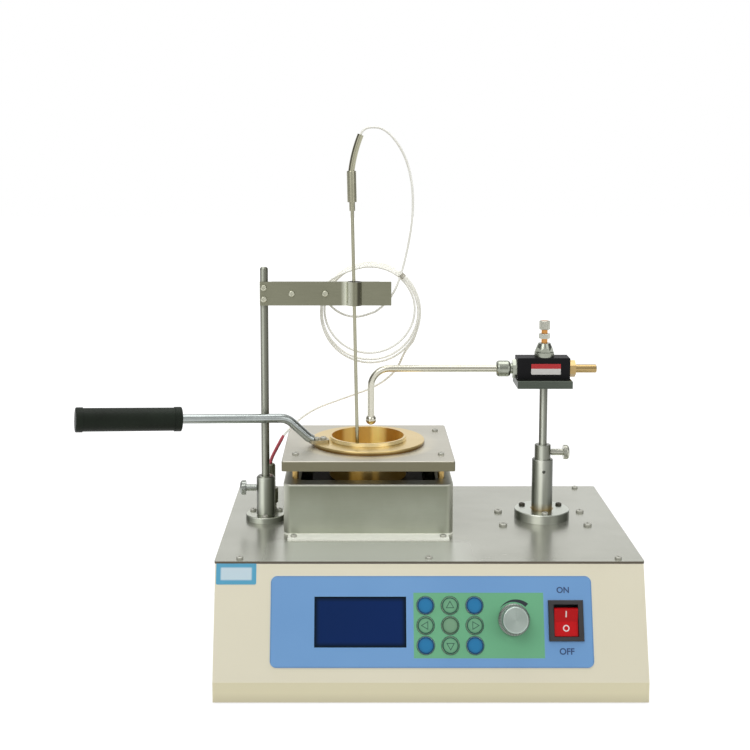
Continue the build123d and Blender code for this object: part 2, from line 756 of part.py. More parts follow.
def cup_handle_bracket():
    """Flat tongue on the flange, ending in a socket that the rod is brazed into."""
    tongue = slab(
        tongue_start, cup_flange_radius + 4.0, -tongue_width / 2, tongue_width / 2,
        flange_top, flange_top + tongue_thickness,
    )
    tongue = fillet(tongue.edges().filter_by(Axis.Z), 3.0)
    for distance in cup_screw_distances():
        tongue -= Pos(distance, 0, 0) * drum(m3_radius + thread_clearance, flange_top - 1, flange_top + 5)
    return handle_frame() * tongue


def cup_handle_screws():
    one = pan_screw(m3_radius, m3_head_radius, m3_head_height, cup_screw_length)
    frame = handle_frame()
    return Compound([frame * Pos(d, 0, flange_top + tongue_thickness) * one for d in cup_screw_distances()])


def cup_handle_rod():
    """Bent rod from the tongue's end, up over the plate's edge and out to the grip."""
    points = [Vector(d, 0, h) for d, h in handle_route()]
    path = Plane.XY * FilletPolyline(*points, radius=[5.0, 16.0])
    rod = sweep(Plane(path @ 0, z_dir=path % 0) * Circle(handle_radius), path=path)
    rod -= slab(0, cup_flange_radius + 4.0, -20, 20, flange_top - 20, flange_top + tongue_thickness)
    rod -= slab(0, cup_flange_radius + 20.0, -20, 20, plate_top - 20, flange_top + 0.4)
    return handle_frame() * rod


def cup_handle_grip():
    """Grip with a collar at each end, on the rod's straight stretch."""
    start = Vector(grip_start, 0, handle_line_height(grip_start))
    axis = Pos(start.X, start.Y, start.Z) * Rot(0, 90 - handle_slope, 0)
    length = (grip_end - grip_start) / math.cos(math.radians(handle_slope))
    grip = drum(grip_radius, 0, length)
    for low in (0, length - grip_collar):
        grip += drum(grip_collar_radius, low, low + grip_collar)
    grip = fillet(grip.edges().group_by(Axis.Z)[0] + grip.edges().group_by(Axis.Z)[-1], 1.0)
    grip -= drum(handle_radius + running_clearance, -1, length - 11.0)
    return handle_frame() * axis * grip


# ---- probe stand ------------------------------------------------------------------------------
def round_base(x, y, radius, height, tube_radius_, top, circle, screw_start):
    """Round foot and sleeve turned as one piece, with three screw holes."""
    foot = drum(radius, deck_top, deck_top + height, x, y)
    foot = chamfer(foot.edges().group_by(Axis.Z)[-1], 0.8)
    tube = drum(tube_radius_, deck_top, deck_top + top, x, y)
    tube = chamfer(tube.edges().group_by(Axis.Z)[-1], 0.6)
    base = foot + tube
    for dx, dy in around(3, circle, screw_start):
        base -= drum(m3_radius + thread_clearance, deck_top - 1, deck_top + height + 1, x + dx, y + dy)
    return base


def probe_post_base():
    base = round_base(
        post_x, post_y, post_base_radius, post_base_height, sleeve_radius, sleeve_top, post_screw_circle, -90
    )
    base -= drum(post_radius + running_clearance, deck_top - 1, deck_top + sleeve_top + 1, post_x, post_y)
    top = deck_top + sleeve_top
    base -= drum(liner_radius + running_clearance, top - liner_length, top + 1, post_x, post_y)
    base -= bar_x(
        lock_thread_radius + running_clearance, post_x - sleeve_radius - 1, post_x,
        post_y, deck_top + post_lock_height,
    )
    return base


def probe_post_liner():
    """Brass liner in the sleeve's mouth. It turns with the rod, which slides through it."""
    top = deck_top + sleeve_top
    liner = drum(liner_radius, top - liner_length + 0.1, top, post_x, post_y)
    liner += drum(liner_lip_radius, top, top + liner_lip, post_x, post_y)
    return liner - drum(post_radius + running_clearance, top - 20, top + 20, post_x, post_y)


def probe_post_thumb_screw():
    """Its axis points along -X, out of the sleeve."""
    screw = thumb_screw(post_radius + 0.25, post_lock_reach, sleeve_radius + 0.4)
    return Pos(post_x, post_y, deck_top + post_lock_height) * Rot(0, 0, 180) * screw


def arm_post_screw_heights():
    return arm_middle - arm_post_screw_spread / 2, arm_middle + arm_post_screw_spread / 2


def probe_post_rod():
    rod = drum(post_radius, deck_top - post_below, deck_top + post_top, post_x, post_y)
    rod = fillet(rod.edges().group_by(Axis.Z)[-1], post_radius * 0.6)
    rod = chamfer(rod.edges().group_by(Axis.Z)[0], 0.6)
    for z in arm_post_screw_heights():
        rod -= Pos(post_x, post_y - post_radius - 1, z) * Rot(-90, 0, 0) * drum(
            m3_radius + thread_clearance, 0, arm_screw_length - arm_sheet + 1.3
        )
    return rod


def arm_strip(left, right, side):
    """Flat strip with a half-round bulge around the probe's bush. Side -1 is the front strip."""
    near, far = (strip_front_y, arm_plane_y) if side < 0 else (arm_plane_y, arm_plane_y + arm_sheet)
    strip = slab(left, right, near, far, arm_low, arm_low + arm_height)
    outer = drum(bulge_radius + arm_sheet, arm_low, arm_low + arm_height, probe_at_arm_x, arm_plane_y)
    reach = bulge_radius + arm_sheet + 1
    low_y, high_y = (arm_plane_y - reach, arm_plane_y) if side < 0 else (arm_plane_y, arm_plane_y + reach)
    half = slab(probe_at_arm_x - reach, probe_at_arm_x + reach, low_y, high_y, arm_low, arm_low + arm_height)
    strip += outer & half
    strip -= drum(bulge_radius, arm_low - 1, arm_low + arm_height + 1, probe_at_arm_x, arm_plane_y)
    for x in arm_screw_x:
        hole = drum(m3_radius + thread_clearance, 0, arm_sheet + 2)
        strip -= Pos(x, near - 1, arm_middle) * Rot(-90, 0, 0) * hole
    return strip


def arm_front_strip():
    strip = arm_strip(post_x - arm_left_overhang, arm_right, -1)
    for z in arm_post_screw_heights():
        strip -= Pos(post_x, strip_front_y - 1, z) * Rot(-90, 0, 0) * drum(
            m3_radius + thread_clearance, 0, arm_sheet + 2
        )
    return strip


def arm_screws():
    """Two screws into the post and two through both strips with nuts behind."""
    one = Rot(90, 0, 0) * pan_screw(m3_radius, m3_head_radius, m3_head_height, arm_screw_length)
    group = [Pos(post_x, strip_front_y, z) * one for z in arm_post_screw_heights()]
    for x in arm_screw_x:
        group.append(Pos(x, strip_front_y, arm_middle) * one)
        nut = hex_prism(nut_radius, nut_height) - drum(m3_radius + thread_clearance, -1, nut_height + 1)
        group.append(Pos(x, arm_plane_y + arm_sheet, arm_middle) * Rot(-90, 0, 0) * nut)
    return Compound(group)


def probe_frame():
    """Frame on the probe's axis: z 0 at the arm's middle, +Z up the probe."""
    return Pos(probe_at_arm_x, arm_plane_y, arm_middle) * Rot(0, -probe_tilt, 0)


def probe_bush():
    bush = drum(bulge_radius - bush_fit, arm_low, arm_low + arm_height, probe_at_arm_x, arm_plane_y)
    return bush - probe_frame() * drum(probe_radius + running_clearance, -arm_height, arm_height)


# ---- probe ------------------------------------------------------------------------------------
def along_probe(height):
    """Distance along the probe from the arm's middle, for a height above the deck."""
    return (deck_top + height - arm_middle) / math.cos(math.radians(probe_tilt))


def probe_sheath():
    tip = along_probe(cup_inside_floor + probe_tip_above_floor - deck_top)
    sheath = drum(probe_radius, tip, along_probe(ferrule_step) + 4)
    sheath = fillet(sheath.edges().group_by(Axis.Z)[0], probe_radius * 0.8)
    return probe_frame() * sheath


def neck_point(share):
    """Centre line of the neck, which bends evenly from its foot to its end."""
    start = (probe_frame() * Pos(0, 0, along_probe(ferrule_top))).position
    low, top = math.radians(neck_lean_low), math.radians(neck_lean_top)
    lean = low + (top - low) * share
    out = Vector(math.cos(low) - math.cos(lean), 0, math.sin(lean) - math.sin(low))
    return start + out * (neck_length / (top - low))


def probe_head():
    """Stepped ferrule crimped on the sheath, with the bent neck tube that the lead leaves."""
    low, step, top = along_probe(ferrule_low), along_probe(ferrule_step), along_probe(ferrule_top)
    ferrule = drum(ferrule_small_radius, low, step) + drum(ferrule_radius, step, top)
    ferrule = fillet(ferrule.edges().group_by(Axis.Z)[-1], 0.8)
    ferrule -= drum(probe_radius + thread_clearance, low - 1, step + 4)
    start = neck_point(0)
    path = ThreePointArc(start, neck_point(0.5), neck_point(1))
    neck = sweep(Plane(path @ 0, z_dir=path % 0) * Circle(neck_radius), path=path)
    return probe_frame() * ferrule + Pos(start.X, start.Y, start.Z) * Sphere(neck_radius) + neck


# ---- probe lead -------------------------------------------------------------------------------
def lead_radii(points):
    """Bend radius at each inner point: 0.45 of the shorter run over the tangent of half the turn."""
    radii = []
    for before, here, after in zip(points, points[1:], points[2:]):
        turn = math.radians((here - before).get_angle(after - here))
        run = min((here - before).length, (after - here).length)
        radii.append(0.45 * run / math.tan(turn / 2))
    return radii


def lead_tube(name, points, radius):
    """Tube of straight runs joined by tangent arcs."""
    points = [Vector(*p) for p in points]
    radii = lead_radii(points)
    print(name, "radii", [round(r, 1) for r in radii])
    path = FilletPolyline(*points, radius=radii)
    tube = sweep(Plane(path @ 0, z_dir=path % 0) * Circle(radius), path=path)
    ratio = tube.volume / (math.pi * radius**2 * path.length)
    print(name, "length", round(path.length, 1), "volume ratio", round(ratio, 4))
    return tube


def along(start, end, bends):
    """Points beside the straight line between two ends: share of the way, then the offset."""
    return [start + (end - start) * share + Vector(x, y, z) for share, x, y, z in bends]


def drop_points():
    """From the neck over the top and down to the coil's first loop."""
    end = neck_point(1)
    last = coil_point(-coil_turns_before)
    aim = coil_direction(-coil_turns_before)
    bends = [
        (-0.014, 1.1, 0.1, 0.1),
        (-0.025, 3.0, 0.2, 0.3),
        (-0.033, 5.7, 0.4, 0.6),
        (-0.035, 10.1, 0.6, 1.0),
        (-0.028, 17.8, 0.9, 1.6),
        (0.018, 26.1, 1.2, 2.3),
        (0.109, 34.4, 1.4, 3.0),
        (0.221, 39.1, 1.6, 3.5),
        (0.345, 40.5, 1.7, 3.6),
        (0.491, 38.4, 1.8, 3.4),
        (0.651, 32.5, 1.8, 2.8),
        (0.785, 25.7, 1.8, 2.1),
        (0.891, 18.6, 1.2, 1.5),
    ]
    return [end] + along(end, last, bends) + [last - aim * 9.0, last - aim * joint_gap]


def coil_point(turns):
    """Centre line of the hanging coil. Turns run clockwise as the user sees them, from the left side.

    Before 0 it is the small loop that comes from the drop, and its centre and radius blend into the
    ring's over a third of a turn.
    """
    angle = math.radians(180.0 - 360.0 * turns)
    share = min(max((turns + 0.10) / 0.30, 0.0), 1.0)
    blend = share * share * (3 - 2 * share)
    grow = 1 - (1 - min(max(turns, 0.0), 3.0) / 3.0) ** 2
    ring_radius = coil_radius_first + (coil_radius_last - coil_radius_first) * grow
    ring_z = arm_middle - coil_below + coil_rise_first * (1 - grow)
    radius = loop_radius + (ring_radius - loop_radius) * blend
    x = probe_at_arm_x + loop_right + (coil_right - loop_right) * blend
    z = arm_middle + loop_above + (ring_z - arm_middle - loop_above) * blend
    y = coil_front_y + coil_pitch * turns - loop_forward * (1 - blend)
    return Vector(x + radius * math.cos(angle), y, z + radius * math.sin(angle))


def coil_direction(turns):
    step = 1e-4
    return (coil_point(turns + step) - coil_point(turns - step)).normalized()


def biarc(start, start_aim, end, end_aim):
    """Two arcs that leave the start along its direction and reach the end along its own."""
    gap = end - start
    aims = start_aim + end_aim
    a = aims.dot(aims) - 4
    b = -2 * gap.dot(aims)
    c = gap.dot(gap)
    reach = (-b - math.sqrt(b * b - 4 * a * c)) / (2 * a)
    middle = (start + start_aim * reach + end - end_aim * reach) * 0.5
    first = TangentArc(start, middle, tangent=start_aim)
    return [first, TangentArc(middle, end, tangent=first % 1)]


def lead_coil():
    """The loops, as one unbroken tube on arcs of an eighth of a turn."""
    steps = round((coil_turns_before + coil_turns_after) * 4)
    span = (coil_turns_before + coil_turns_after) / steps
    stops = [-coil_turns_before + span * i for i in range(steps + 1)]
    arcs = []
    for a, b in zip(stops, stops[1:]):
        arcs += biarc(coil_point(a), coil_direction(a), coil_point(b), coil_direction(b))
    path = Wire(arcs)
    tube = sweep(Plane(path @ 0, z_dir=path % 0) * Circle(lead_radius), path=path)
    print("coil length", round(path.length, 1), "least gap", round(coil_gap(), 2))
    return tube


def coil_gap():
    """Least gap between two passes of the coil that are over a third of a turn apart."""
    fine = 48
    count = int((coil_turns_before + coil_turns_after) * fine)
    points = [coil_point(-coil_turns_before + i / fine) for i in range(count + 1)]
    least = min(
        (points[i] - points[j]).length
        for i in range(len(points))
        for j in range(i + fine // 3, len(points))
    )
    return least - 2 * lead_radius


def tail_along(bends):
    """Points between the coil's end and the plug's top."""
    return along(coil_point(coil_turns_after), Vector(socket_x, socket_y, deck_top + plug_top), bends)


def tail_high_points():
    """From the coil's end down behind the burner, to where the stand's share of the lead ends."""
    start = coil_point(coil_turns_after)
    aim = coil_direction(coil_turns_after)
    bends = [
        (0.09, 3.1, 4.6, -4.5),
        (0.13, 6.2, 12.5, -7.4),
        (0.19, 9.0, 18.2, -10.1),
        (0.27, 9.6, 21.1, -10.4),
        (0.36, 8.5, 22.5, -7.7),
        (0.46, 3.1, 20.2, -2.5),
        (0.57, -2.7, 14.9, 3.6),
    ]
    return [start + aim * joint_gap, start + aim * 9.0] + tail_along(bends)


def tail_low_points():
    """From there over the heater plate's corner to the red sleeve."""
    before, split = tail_high_points()[-2:]
    aim = (split - before).normalized()
    bends = [(0.67, -6.4, 10.3, 8.3), (0.74, -8.0, 6.7, 8.9), (0.80, -7.7, 4.1, 8.7)]
    points = tail_along(bends)
    end = Vector(*sleeve_end())
    stop = end + (points[-1] - end).normalized() * 0.4
    return [split + aim * joint_gap, split + aim * 6.0] + points + [stop]


def sleeve_end():
    return (socket_x + 12.1, socket_y + 1.3, deck_top + plug_top + 25.2)


def sleeve_points():
    """Red sleeve: straight up out of the plug, then over to the right."""
    top = deck_top + plug_top
    return [
        (socket_x, socket_y, top),
        (socket_x, socket_y, top + 5.0),
        (socket_x + 3.0, socket_y + 0.3, top + 12.0),
        (socket_x + 7.6, socket_y + 0.8, top + 19.3),
        sleeve_end(),
    ]


def probe_socket():
    low = deck_low - 8.0
    socket = drum(socket_radius, low, deck_top + plug_ring_low, socket_x, socket_y)
    socket += drum(socket_flange_radius, deck_top, deck_top + socket_flange, socket_x, socket_y)
    nut = Pos(socket_x, socket_y, deck_low - 3.0) * hex_prism(socket_flange_radius, 3.0)
    return socket + nut


def probe_plug():
    """Round plug with its coupling ring, and the red sleeve on its lead."""
    ring = drum(plug_ring_radius, deck_top + plug_ring_low, deck_top + plug_ring_top)
    ring = chamfer(ring.edges(), 0.6)
    for x, y in around(18, plug_ring_radius):
        ring -= drum(0.4, deck_top + plug_ring_low + 2, deck_top + plug_ring_top - 2, x, y)
    shell = drum(plug_shell_radius, deck_top + plug_ring_top, deck_top + plug_top)
    shell = fillet(shell.edges().group_by(Axis.Z)[-1], 1.5)
    plug = Pos(socket_x, socket_y, 0) * (ring + shell)
    return Compound([plug, lead_tube("red sleeve", sleeve_points(), sleeve_tube_radius)])


# ---- burner stand -----------------------------------------------------------------------------
def burner_post_base():
    base = round_base(
        stand_x, stand_y, stand_base_radius, stand_base_height,
        stand_sleeve_radius, stand_sleeve_top, stand_screw_circle, -90,
    )
    bore = post_radius + running_clearance
    base -= drum(bore, deck_top - 1, deck_top + stand_sleeve_top + 1, stand_x, stand_y)
    base -= Pos(stand_x, stand_y - stand_sleeve_radius - 1, deck_top + grub_height) * Rot(-90, 0, 0) * drum(
        grub_radius, 0, grub_depth + 1
    )
    return base


def burner_collar():
    """Collar that rests on the sleeve and turns with the rod."""
    low, top = deck_top + stand_sleeve_top, deck_top + collar_top
    collar = drum(collar_radius, low, top, stand_x, stand_y)
    collar = chamfer(collar.edges().group_by(Axis.Z)[-1], 0.5)
    collar -= drum(post_radius + running_clearance, low - 1, top + 1, stand_x, stand_y)
    return collar - bar_x(
        lock_thread_radius + running_clearance, stand_x, stand_x + collar_radius + 1,
        stand_y, deck_top + stand_lock_height,
    )


def burner_thumb_screw():
    screw = thumb_screw(post_radius + 0.25, stand_lock_reach, collar_radius + 0.4)
    return Pos(stand_x, stand_y, deck_top + stand_lock_height) * screw


def burner_rod():
    rod = drum(post_radius, deck_top + stand_rod_bottom, saddle_low, stand_x, stand_y)
    return chamfer(rod.edges().group_by(Axis.Z)[0], 0.6)


# ---- burner head ------------------------------------------------------------------------------
def burner_saddle():
    x = stand_x + saddle_shift
    saddle = slab(
        x - saddle_width / 2, x + saddle_width / 2, stand_y - saddle_depth / 2, stand_y + saddle_depth / 2,
        saddle_low, valve_low,
    )
    return chamfer(saddle.edges().group_by(Axis.Z)[-1], 0.5)


def valve_block():
    block = slab(
        valve_left, valve_right, stand_y - valve_depth / 2, stand_y + valve_depth / 2, valve_low, valve_top
    )
    block = chamfer(block.edges().group_by(Axis.Z)[-1], 0.4)
    bore = spindle_radius + loose_clearance
    return block - drum(bore, valve_top - spindle_depth - 1, valve_top + 1, stand_x, stand_y)


def valve_bonnet():
    """Round base and hexagonal gland nut that guide the spindle."""
    base_top = valve_top + bonnet_base_height
    base = drum(bonnet_base_radius, valve_top, base_top, stand_x, stand_y)
    nut = hex_prism(bonnet_nut_radius, bonnet_nut_height)
    dome = Pos(0, 0, -1.2) * Cone(
        bonnet_nut_radius + 1.2, bonnet_nut_radius - 2.6, bonnet_nut_height + 1.2,
        align=(Align.CENTER, Align.CENTER, Align.MIN),
    )
    nut = nut & dome
    bonnet = base + Pos(stand_x, stand_y, base_top) * nut
    return bonnet - drum(spindle_radius + running_clearance, valve_top - 1, base_top + 20, stand_x, stand_y)


def bonnet_top():
    return valve_top + bonnet_base_height + bonnet_nut_height


def valve_spindle():
    low = valve_top - spindle_depth
    high = bonnet_top() + spindle_gap_low + lock_nut_height + spindle_gap_high + 2.0
    return drum(spindle_radius, low, high, stand_x, stand_y)


def valve_knob():
    """Lock nut and knurled knob on the spindle."""
    nut_low = bonnet_top() + spindle_gap_low
    knob_low = nut_low + lock_nut_height + spindle_gap_high
    nut = Pos(stand_x, stand_y, nut_low) * hex_prism(lock_nut_radius, lock_nut_height)
    nut = chamfer(nut.edges().filter_by(GeomType.LINE, reverse=False).group_by(Axis.Z)[-1], 0.4)
    bore = spindle_radius + thread_clearance
    nut -= drum(bore, nut_low - 1, nut_low + lock_nut_height + 1, stand_x, stand_y)
    knob = drum(valve_knob_radius, knob_low, knob_low + valve_knob_height, stand_x, stand_y)
    knob = chamfer(knob.edges(), 0.5)
    for x, y in around(knurl_count, valve_knob_radius + 0.1):
        knob -= drum(0.4, knob_low - 1, knob_low + valve_knob_height + 1, stand_x + x, stand_y + y)
    knob -= drum(bore, knob_low - 1, knob_low + 2.0 + thread_clearance, stand_x, stand_y)
    return Compound([nut, knob])


def hose_nozzle():
    """Hexagon and plain spigot that the gas hose is pushed on."""
    hexagon = Pos(valve_right, stand_y, port_z) * Rot(0, 90, 0) * hex_prism(nozzle_hex_radius, nozzle_hex)
    start = valve_right + nozzle_hex
    spigot = bar_x(nozzle_radius, start, start + nozzle_length, stand_y, port_z)
    spigot = chamfer(spigot.edges().sort_by(Axis.X)[-1], 0.5)
    return hexagon + spigot - bar_x(nozzle_bore, start - 2, start + nozzle_length + 1, stand_y, port_z)


def tube_fitting():
    """Hexagon, neck and rounded compression nut on the block's left."""
    hex_left = valve_left - fitting_hex
    neck_left = hex_left - fitting_neck
    nut_left = neck_left - fitting_nut
    hexagon = Pos(hex_left, stand_y, port_z) * Rot(0, 90, 0) * hex_prism(fitting_hex_radius, fitting_hex)
    neck = bar_x(fitting_neck_radius, neck_left, hex_left, stand_y, port_z)
    nut = bar_x(fitting_nut_radius, nut_left, neck_left, stand_y, port_z)
    nut = fillet(nut.edges().filter_by(GeomType.CIRCLE), 2.6)
    fitting = hexagon + neck + nut
    return fitting - bar_x(tube_radius + thread_clearance, nut_left - 1, tube_start(), stand_y, port_z)


def tube_start():
    return valve_left - 1.5


def burner_tube():
    """Bent tube with the ball jet at its end, a small hole in the ball pointing down."""
    jet_z = deck_top + jet_height
    path = FilletPolyline(
        (tube_start(), stand_y, port_z), (jet_x, stand_y, port_z), (jet_x, stand_y, jet_z), radius=tube_elbow
    )
    tube = sweep(Plane(path @ 0, z_dir=path % 0) * Circle(tube_radius), path=path)
    tube += Pos(jet_x, stand_y, jet_z) * Sphere(jet_radius)
    return tube - drum(jet_hole, jet_z - jet_radius - 1, jet_z, jet_x, stand_y)


# ---- inside the case --------------------------------------------------------------------------
def transformer():
    """Laminated core with its winding, and the cradle bracket under the deck."""
    half_x, half_y = core_width / 2, core_depth / 2
    top = deck_low - core_gap
    low = top - core_height
    core = slab(-half_x, half_x, -half_y, half_y, low, top)
    winding = slab(
        -half_x * 0.62, half_x * 0.62, -half_y - winding_swell, half_y + winding_swell, low + 8, top - 8
    )
    winding = fillet(winding.edges().filter_by(Axis.Z), 4.0)
    wide = half_x + bracket_sheet
    outer = slab(-wide, wide, -half_y, half_y, low - bracket_sheet, deck_low)
    outer += slab(
        -bracket_reach, bracket_reach, -bracket_half, bracket_half, deck_low - bracket_sheet, deck_low
    )
    cradle = outer - slab(-half_x, half_x, -half_y - 6, half_y + 6, low, deck_low + 1)
    place = Pos(transformer_x, transformer_y, 0)
    cradle = place * cradle
    for x, y in transformer_screw_places():
        cradle -= drum(m4_radius + thread_clearance, deck_low - 6, deck_low + 1, x, y)
    return Compound([place * (core + winding), cradle])


def mains_inlet():
    """Three-pin inlet in the back wall: flange, housing, recess and pins, with a fuse drawer below."""
    half_w, half_h = inlet_width / 2, inlet_height / 2
    body = slab(-half_w, half_w, back_y - inlet_depth, back_y, -half_h, half_h)
    flange = slab(
        -inlet_flange_width / 2, inlet_flange_width / 2, back_y, back_y + inlet_flange,
        -inlet_flange_height / 2, inlet_flange_height / 2,
    )
    flange = fillet(flange.edges().filter_by(Axis.Y), 4.0)
    recess = slab(-12.0, 12.0, back_y - 14.5, back_y + inlet_flange + 1, -3.0, 13.0)
    drawer = slab(-10.0, 10.0, back_y + inlet_flange - 0.8, back_y + inlet_flange + 1, -13.0, -6.0) \
        - slab(-9.2, 9.2, back_y - 1, back_y + inlet_flange + 2, -12.2, -6.8)
    inlet = body + flange - recess - drawer
    for x, z in ((-7.0, 3.5), (7.0, 3.5), (0.0, 7.5)):
        inlet += slab(x - 1.0, x + 1.0, back_y - 15.0, back_y - 3.5, z - 2.0, z + 2.0)
    return Pos(inlet_x, 0, inlet_z) * inlet


# ---- every node -------------------------------------------------------------------------------
def all_nodes():
    back_strip = arm_strip(post_x + arm_back_start, probe_at_arm_x + arm_back_overhang, 1)
    nodes = {
        "case_shell": case_shell(),
        "base_pan": base_pan(),
        "rubber_feet": rubber_feet(),
        "deck_plate": deck_plate(),
        "m3_screws": m3_screws(),
        "m4_screws": m4_screws(),
        "front_overlay": front_overlay(),
        "display_window": display_window(),
        "control_knob": control_knob(),
        "rocker_body": rocker_body(),
        "rocker_paddle": rocker_paddle(),
        "circuit_boards": circuit_boards(),
        "heater_box": heater_box(),
        "heater_block": heater_block(),
        "heater_standoffs": heater_standoffs(),
        "heater_plate": heater_plate(),
        "test_cup": test_cup(),
        "cup_handle_bracket": cup_handle_bracket(),
        "cup_handle_screws": cup_handle_screws(),
        "cup_handle_rod": cup_handle_rod(),
        "cup_handle_grip": cup_handle_grip(),
        "probe_post_base": probe_post_base(),
        "probe_post_liner": probe_post_liner(),
        "probe_post_thumb_screw": probe_post_thumb_screw(),
        "probe_post_rod": probe_post_rod(),
        "arm_front_strip": arm_front_strip(),
        "arm_back_strip": back_strip,
        "arm_screws": arm_screws(),
        "probe_bush": probe_bush(),
        "probe_sheath": probe_sheath(),
        "probe_head": probe_head(),
        "lead_drop": lead_tube("drop", drop_points(), lead_radius),
        "lead_coil": lead_coil(),
        "lead_tail_high": lead_tube("high tail", tail_high_points(), lead_radius),
        "lead_tail_low": lead_tube("low tail", tail_low_points(), lead_radius),
        "probe_socket": probe_socket(),
        "probe_plug": probe_plug(),
        "burner_post_base": burner_post_base(),
        "burner_collar": burner_collar(),
        "burner_thumb_screw": burner_thumb_screw(),
        "burner_rod": burner_rod(),
        "burner_saddle": burner_saddle(),
        "valve_block": valve_block(),
        "valve_bonnet": valve_bonnet(),
        "valve_spindle": valve_spindle(),
        "valve_knob": valve_knob(),
        "hose_nozzle": hose_nozzle(),
        "tube_fitting": tube_fitting(),
        "burner_tube": burner_tube(),
        "transformer": transformer(),
        "mains_inlet": mains_inlet(),
    }
    nodes.update(keys())
    return nodes


os.makedirs("parts", exist_ok=True)
for node, shape in all_nodes().items():
    export_step(shape, f"parts/{node}.step")
print("nodes written")
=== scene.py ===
import math

import bpy
from mathutils import Matrix, Vector


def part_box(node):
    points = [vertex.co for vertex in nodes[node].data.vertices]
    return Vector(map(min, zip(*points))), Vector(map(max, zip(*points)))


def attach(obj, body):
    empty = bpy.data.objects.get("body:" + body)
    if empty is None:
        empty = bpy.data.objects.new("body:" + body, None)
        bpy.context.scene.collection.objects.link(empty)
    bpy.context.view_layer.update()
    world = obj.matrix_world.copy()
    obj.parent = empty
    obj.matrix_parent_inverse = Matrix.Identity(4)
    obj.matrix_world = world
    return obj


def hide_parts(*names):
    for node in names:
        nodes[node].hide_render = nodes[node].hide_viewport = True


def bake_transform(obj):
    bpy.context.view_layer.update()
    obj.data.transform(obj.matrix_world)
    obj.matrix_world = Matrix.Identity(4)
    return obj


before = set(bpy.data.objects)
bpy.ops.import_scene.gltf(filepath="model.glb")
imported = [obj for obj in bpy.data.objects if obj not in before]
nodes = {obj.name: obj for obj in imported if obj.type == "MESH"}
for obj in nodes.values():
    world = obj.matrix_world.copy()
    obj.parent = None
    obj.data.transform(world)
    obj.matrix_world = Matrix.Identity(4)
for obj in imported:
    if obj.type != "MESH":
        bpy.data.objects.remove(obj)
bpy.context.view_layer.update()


# camera, at the photograph's viewing angle
cameraLook = {
    "place": (-0.0559, -1.0582, 0.4353),
    "pitch": 6.5,  # degrees below level
    "lens": 60.51,
    "shift": (0.0217, -0.1227),
}
lens = bpy.data.cameras.new("camera")
lens.lens, lens.sensor_width = cameraLook["lens"], 36.0
lens.shift_x, lens.shift_y = cameraLook["shift"]
camera = bpy.data.objects.new("camera", lens)
camera.location = cameraLook["place"]
camera.rotation_euler = (math.radians(90 - cameraLook["pitch"]), 0, 0)
bpy.context.collection.objects.link(camera)
bpy.context.scene.camera = camera
bpy.context.scene.view_settings.view_transform = "Standard"
print("camera placed")


# shader maths: a socket that takes part in sums, and a material that makes its nodes
class Signal:
    def __init__(self, paint, socket):
        self.paint, self.socket = paint, socket

    def math(self, operation, *others, clamp=False):
        values = dict(enumerate([self, *others]))
        return self.paint.node("ShaderNodeMath", {"operation": operation, "use_clamp": clamp}, values)

    def turnedRound(self, operation, other):
        return self.paint.node("ShaderNodeMath", {"operation": operation}, {0: other, 1: self})

    def __add__(self, other):
        return self.math("ADD", other)

    def __radd__(self, other):
        return self.math("ADD", other)

    def __sub__(self, other):
        return self.math("SUBTRACT", other)

    def __rsub__(self, other):
        return self.turnedRound("SUBTRACT", other)

    def __mul__(self, other):
        return self.math("MULTIPLY", other)

    def __rmul__(self, other):
        return self.math("MULTIPLY", other)

    def __truediv__(self, other):
        return self.math("DIVIDE", other)

    def __rtruediv__(self, other):
        return self.turnedRound("DIVIDE", other)

    def __pow__(self, other):
        return self.math("POWER", other)

    def __abs__(self):
        return self.math("ABSOLUTE")

    def below(self, edge, soft):  # 1 under the edge, 0 past it
        return self.math("MULTIPLY_ADD", -1 / soft, edge / soft + 0.5, clamp=True)

    def above(self, edge, soft):
        return self.math("MULTIPLY_ADD", 1 / soft, 0.5 - edge / soft, clamp=True)

    def near(self, middle, half, soft):  # a band round the middle
        return abs(self - middle).below(half, soft)

    def output(self, name):
        return Signal(self.paint, self.socket.node.outputs[name])


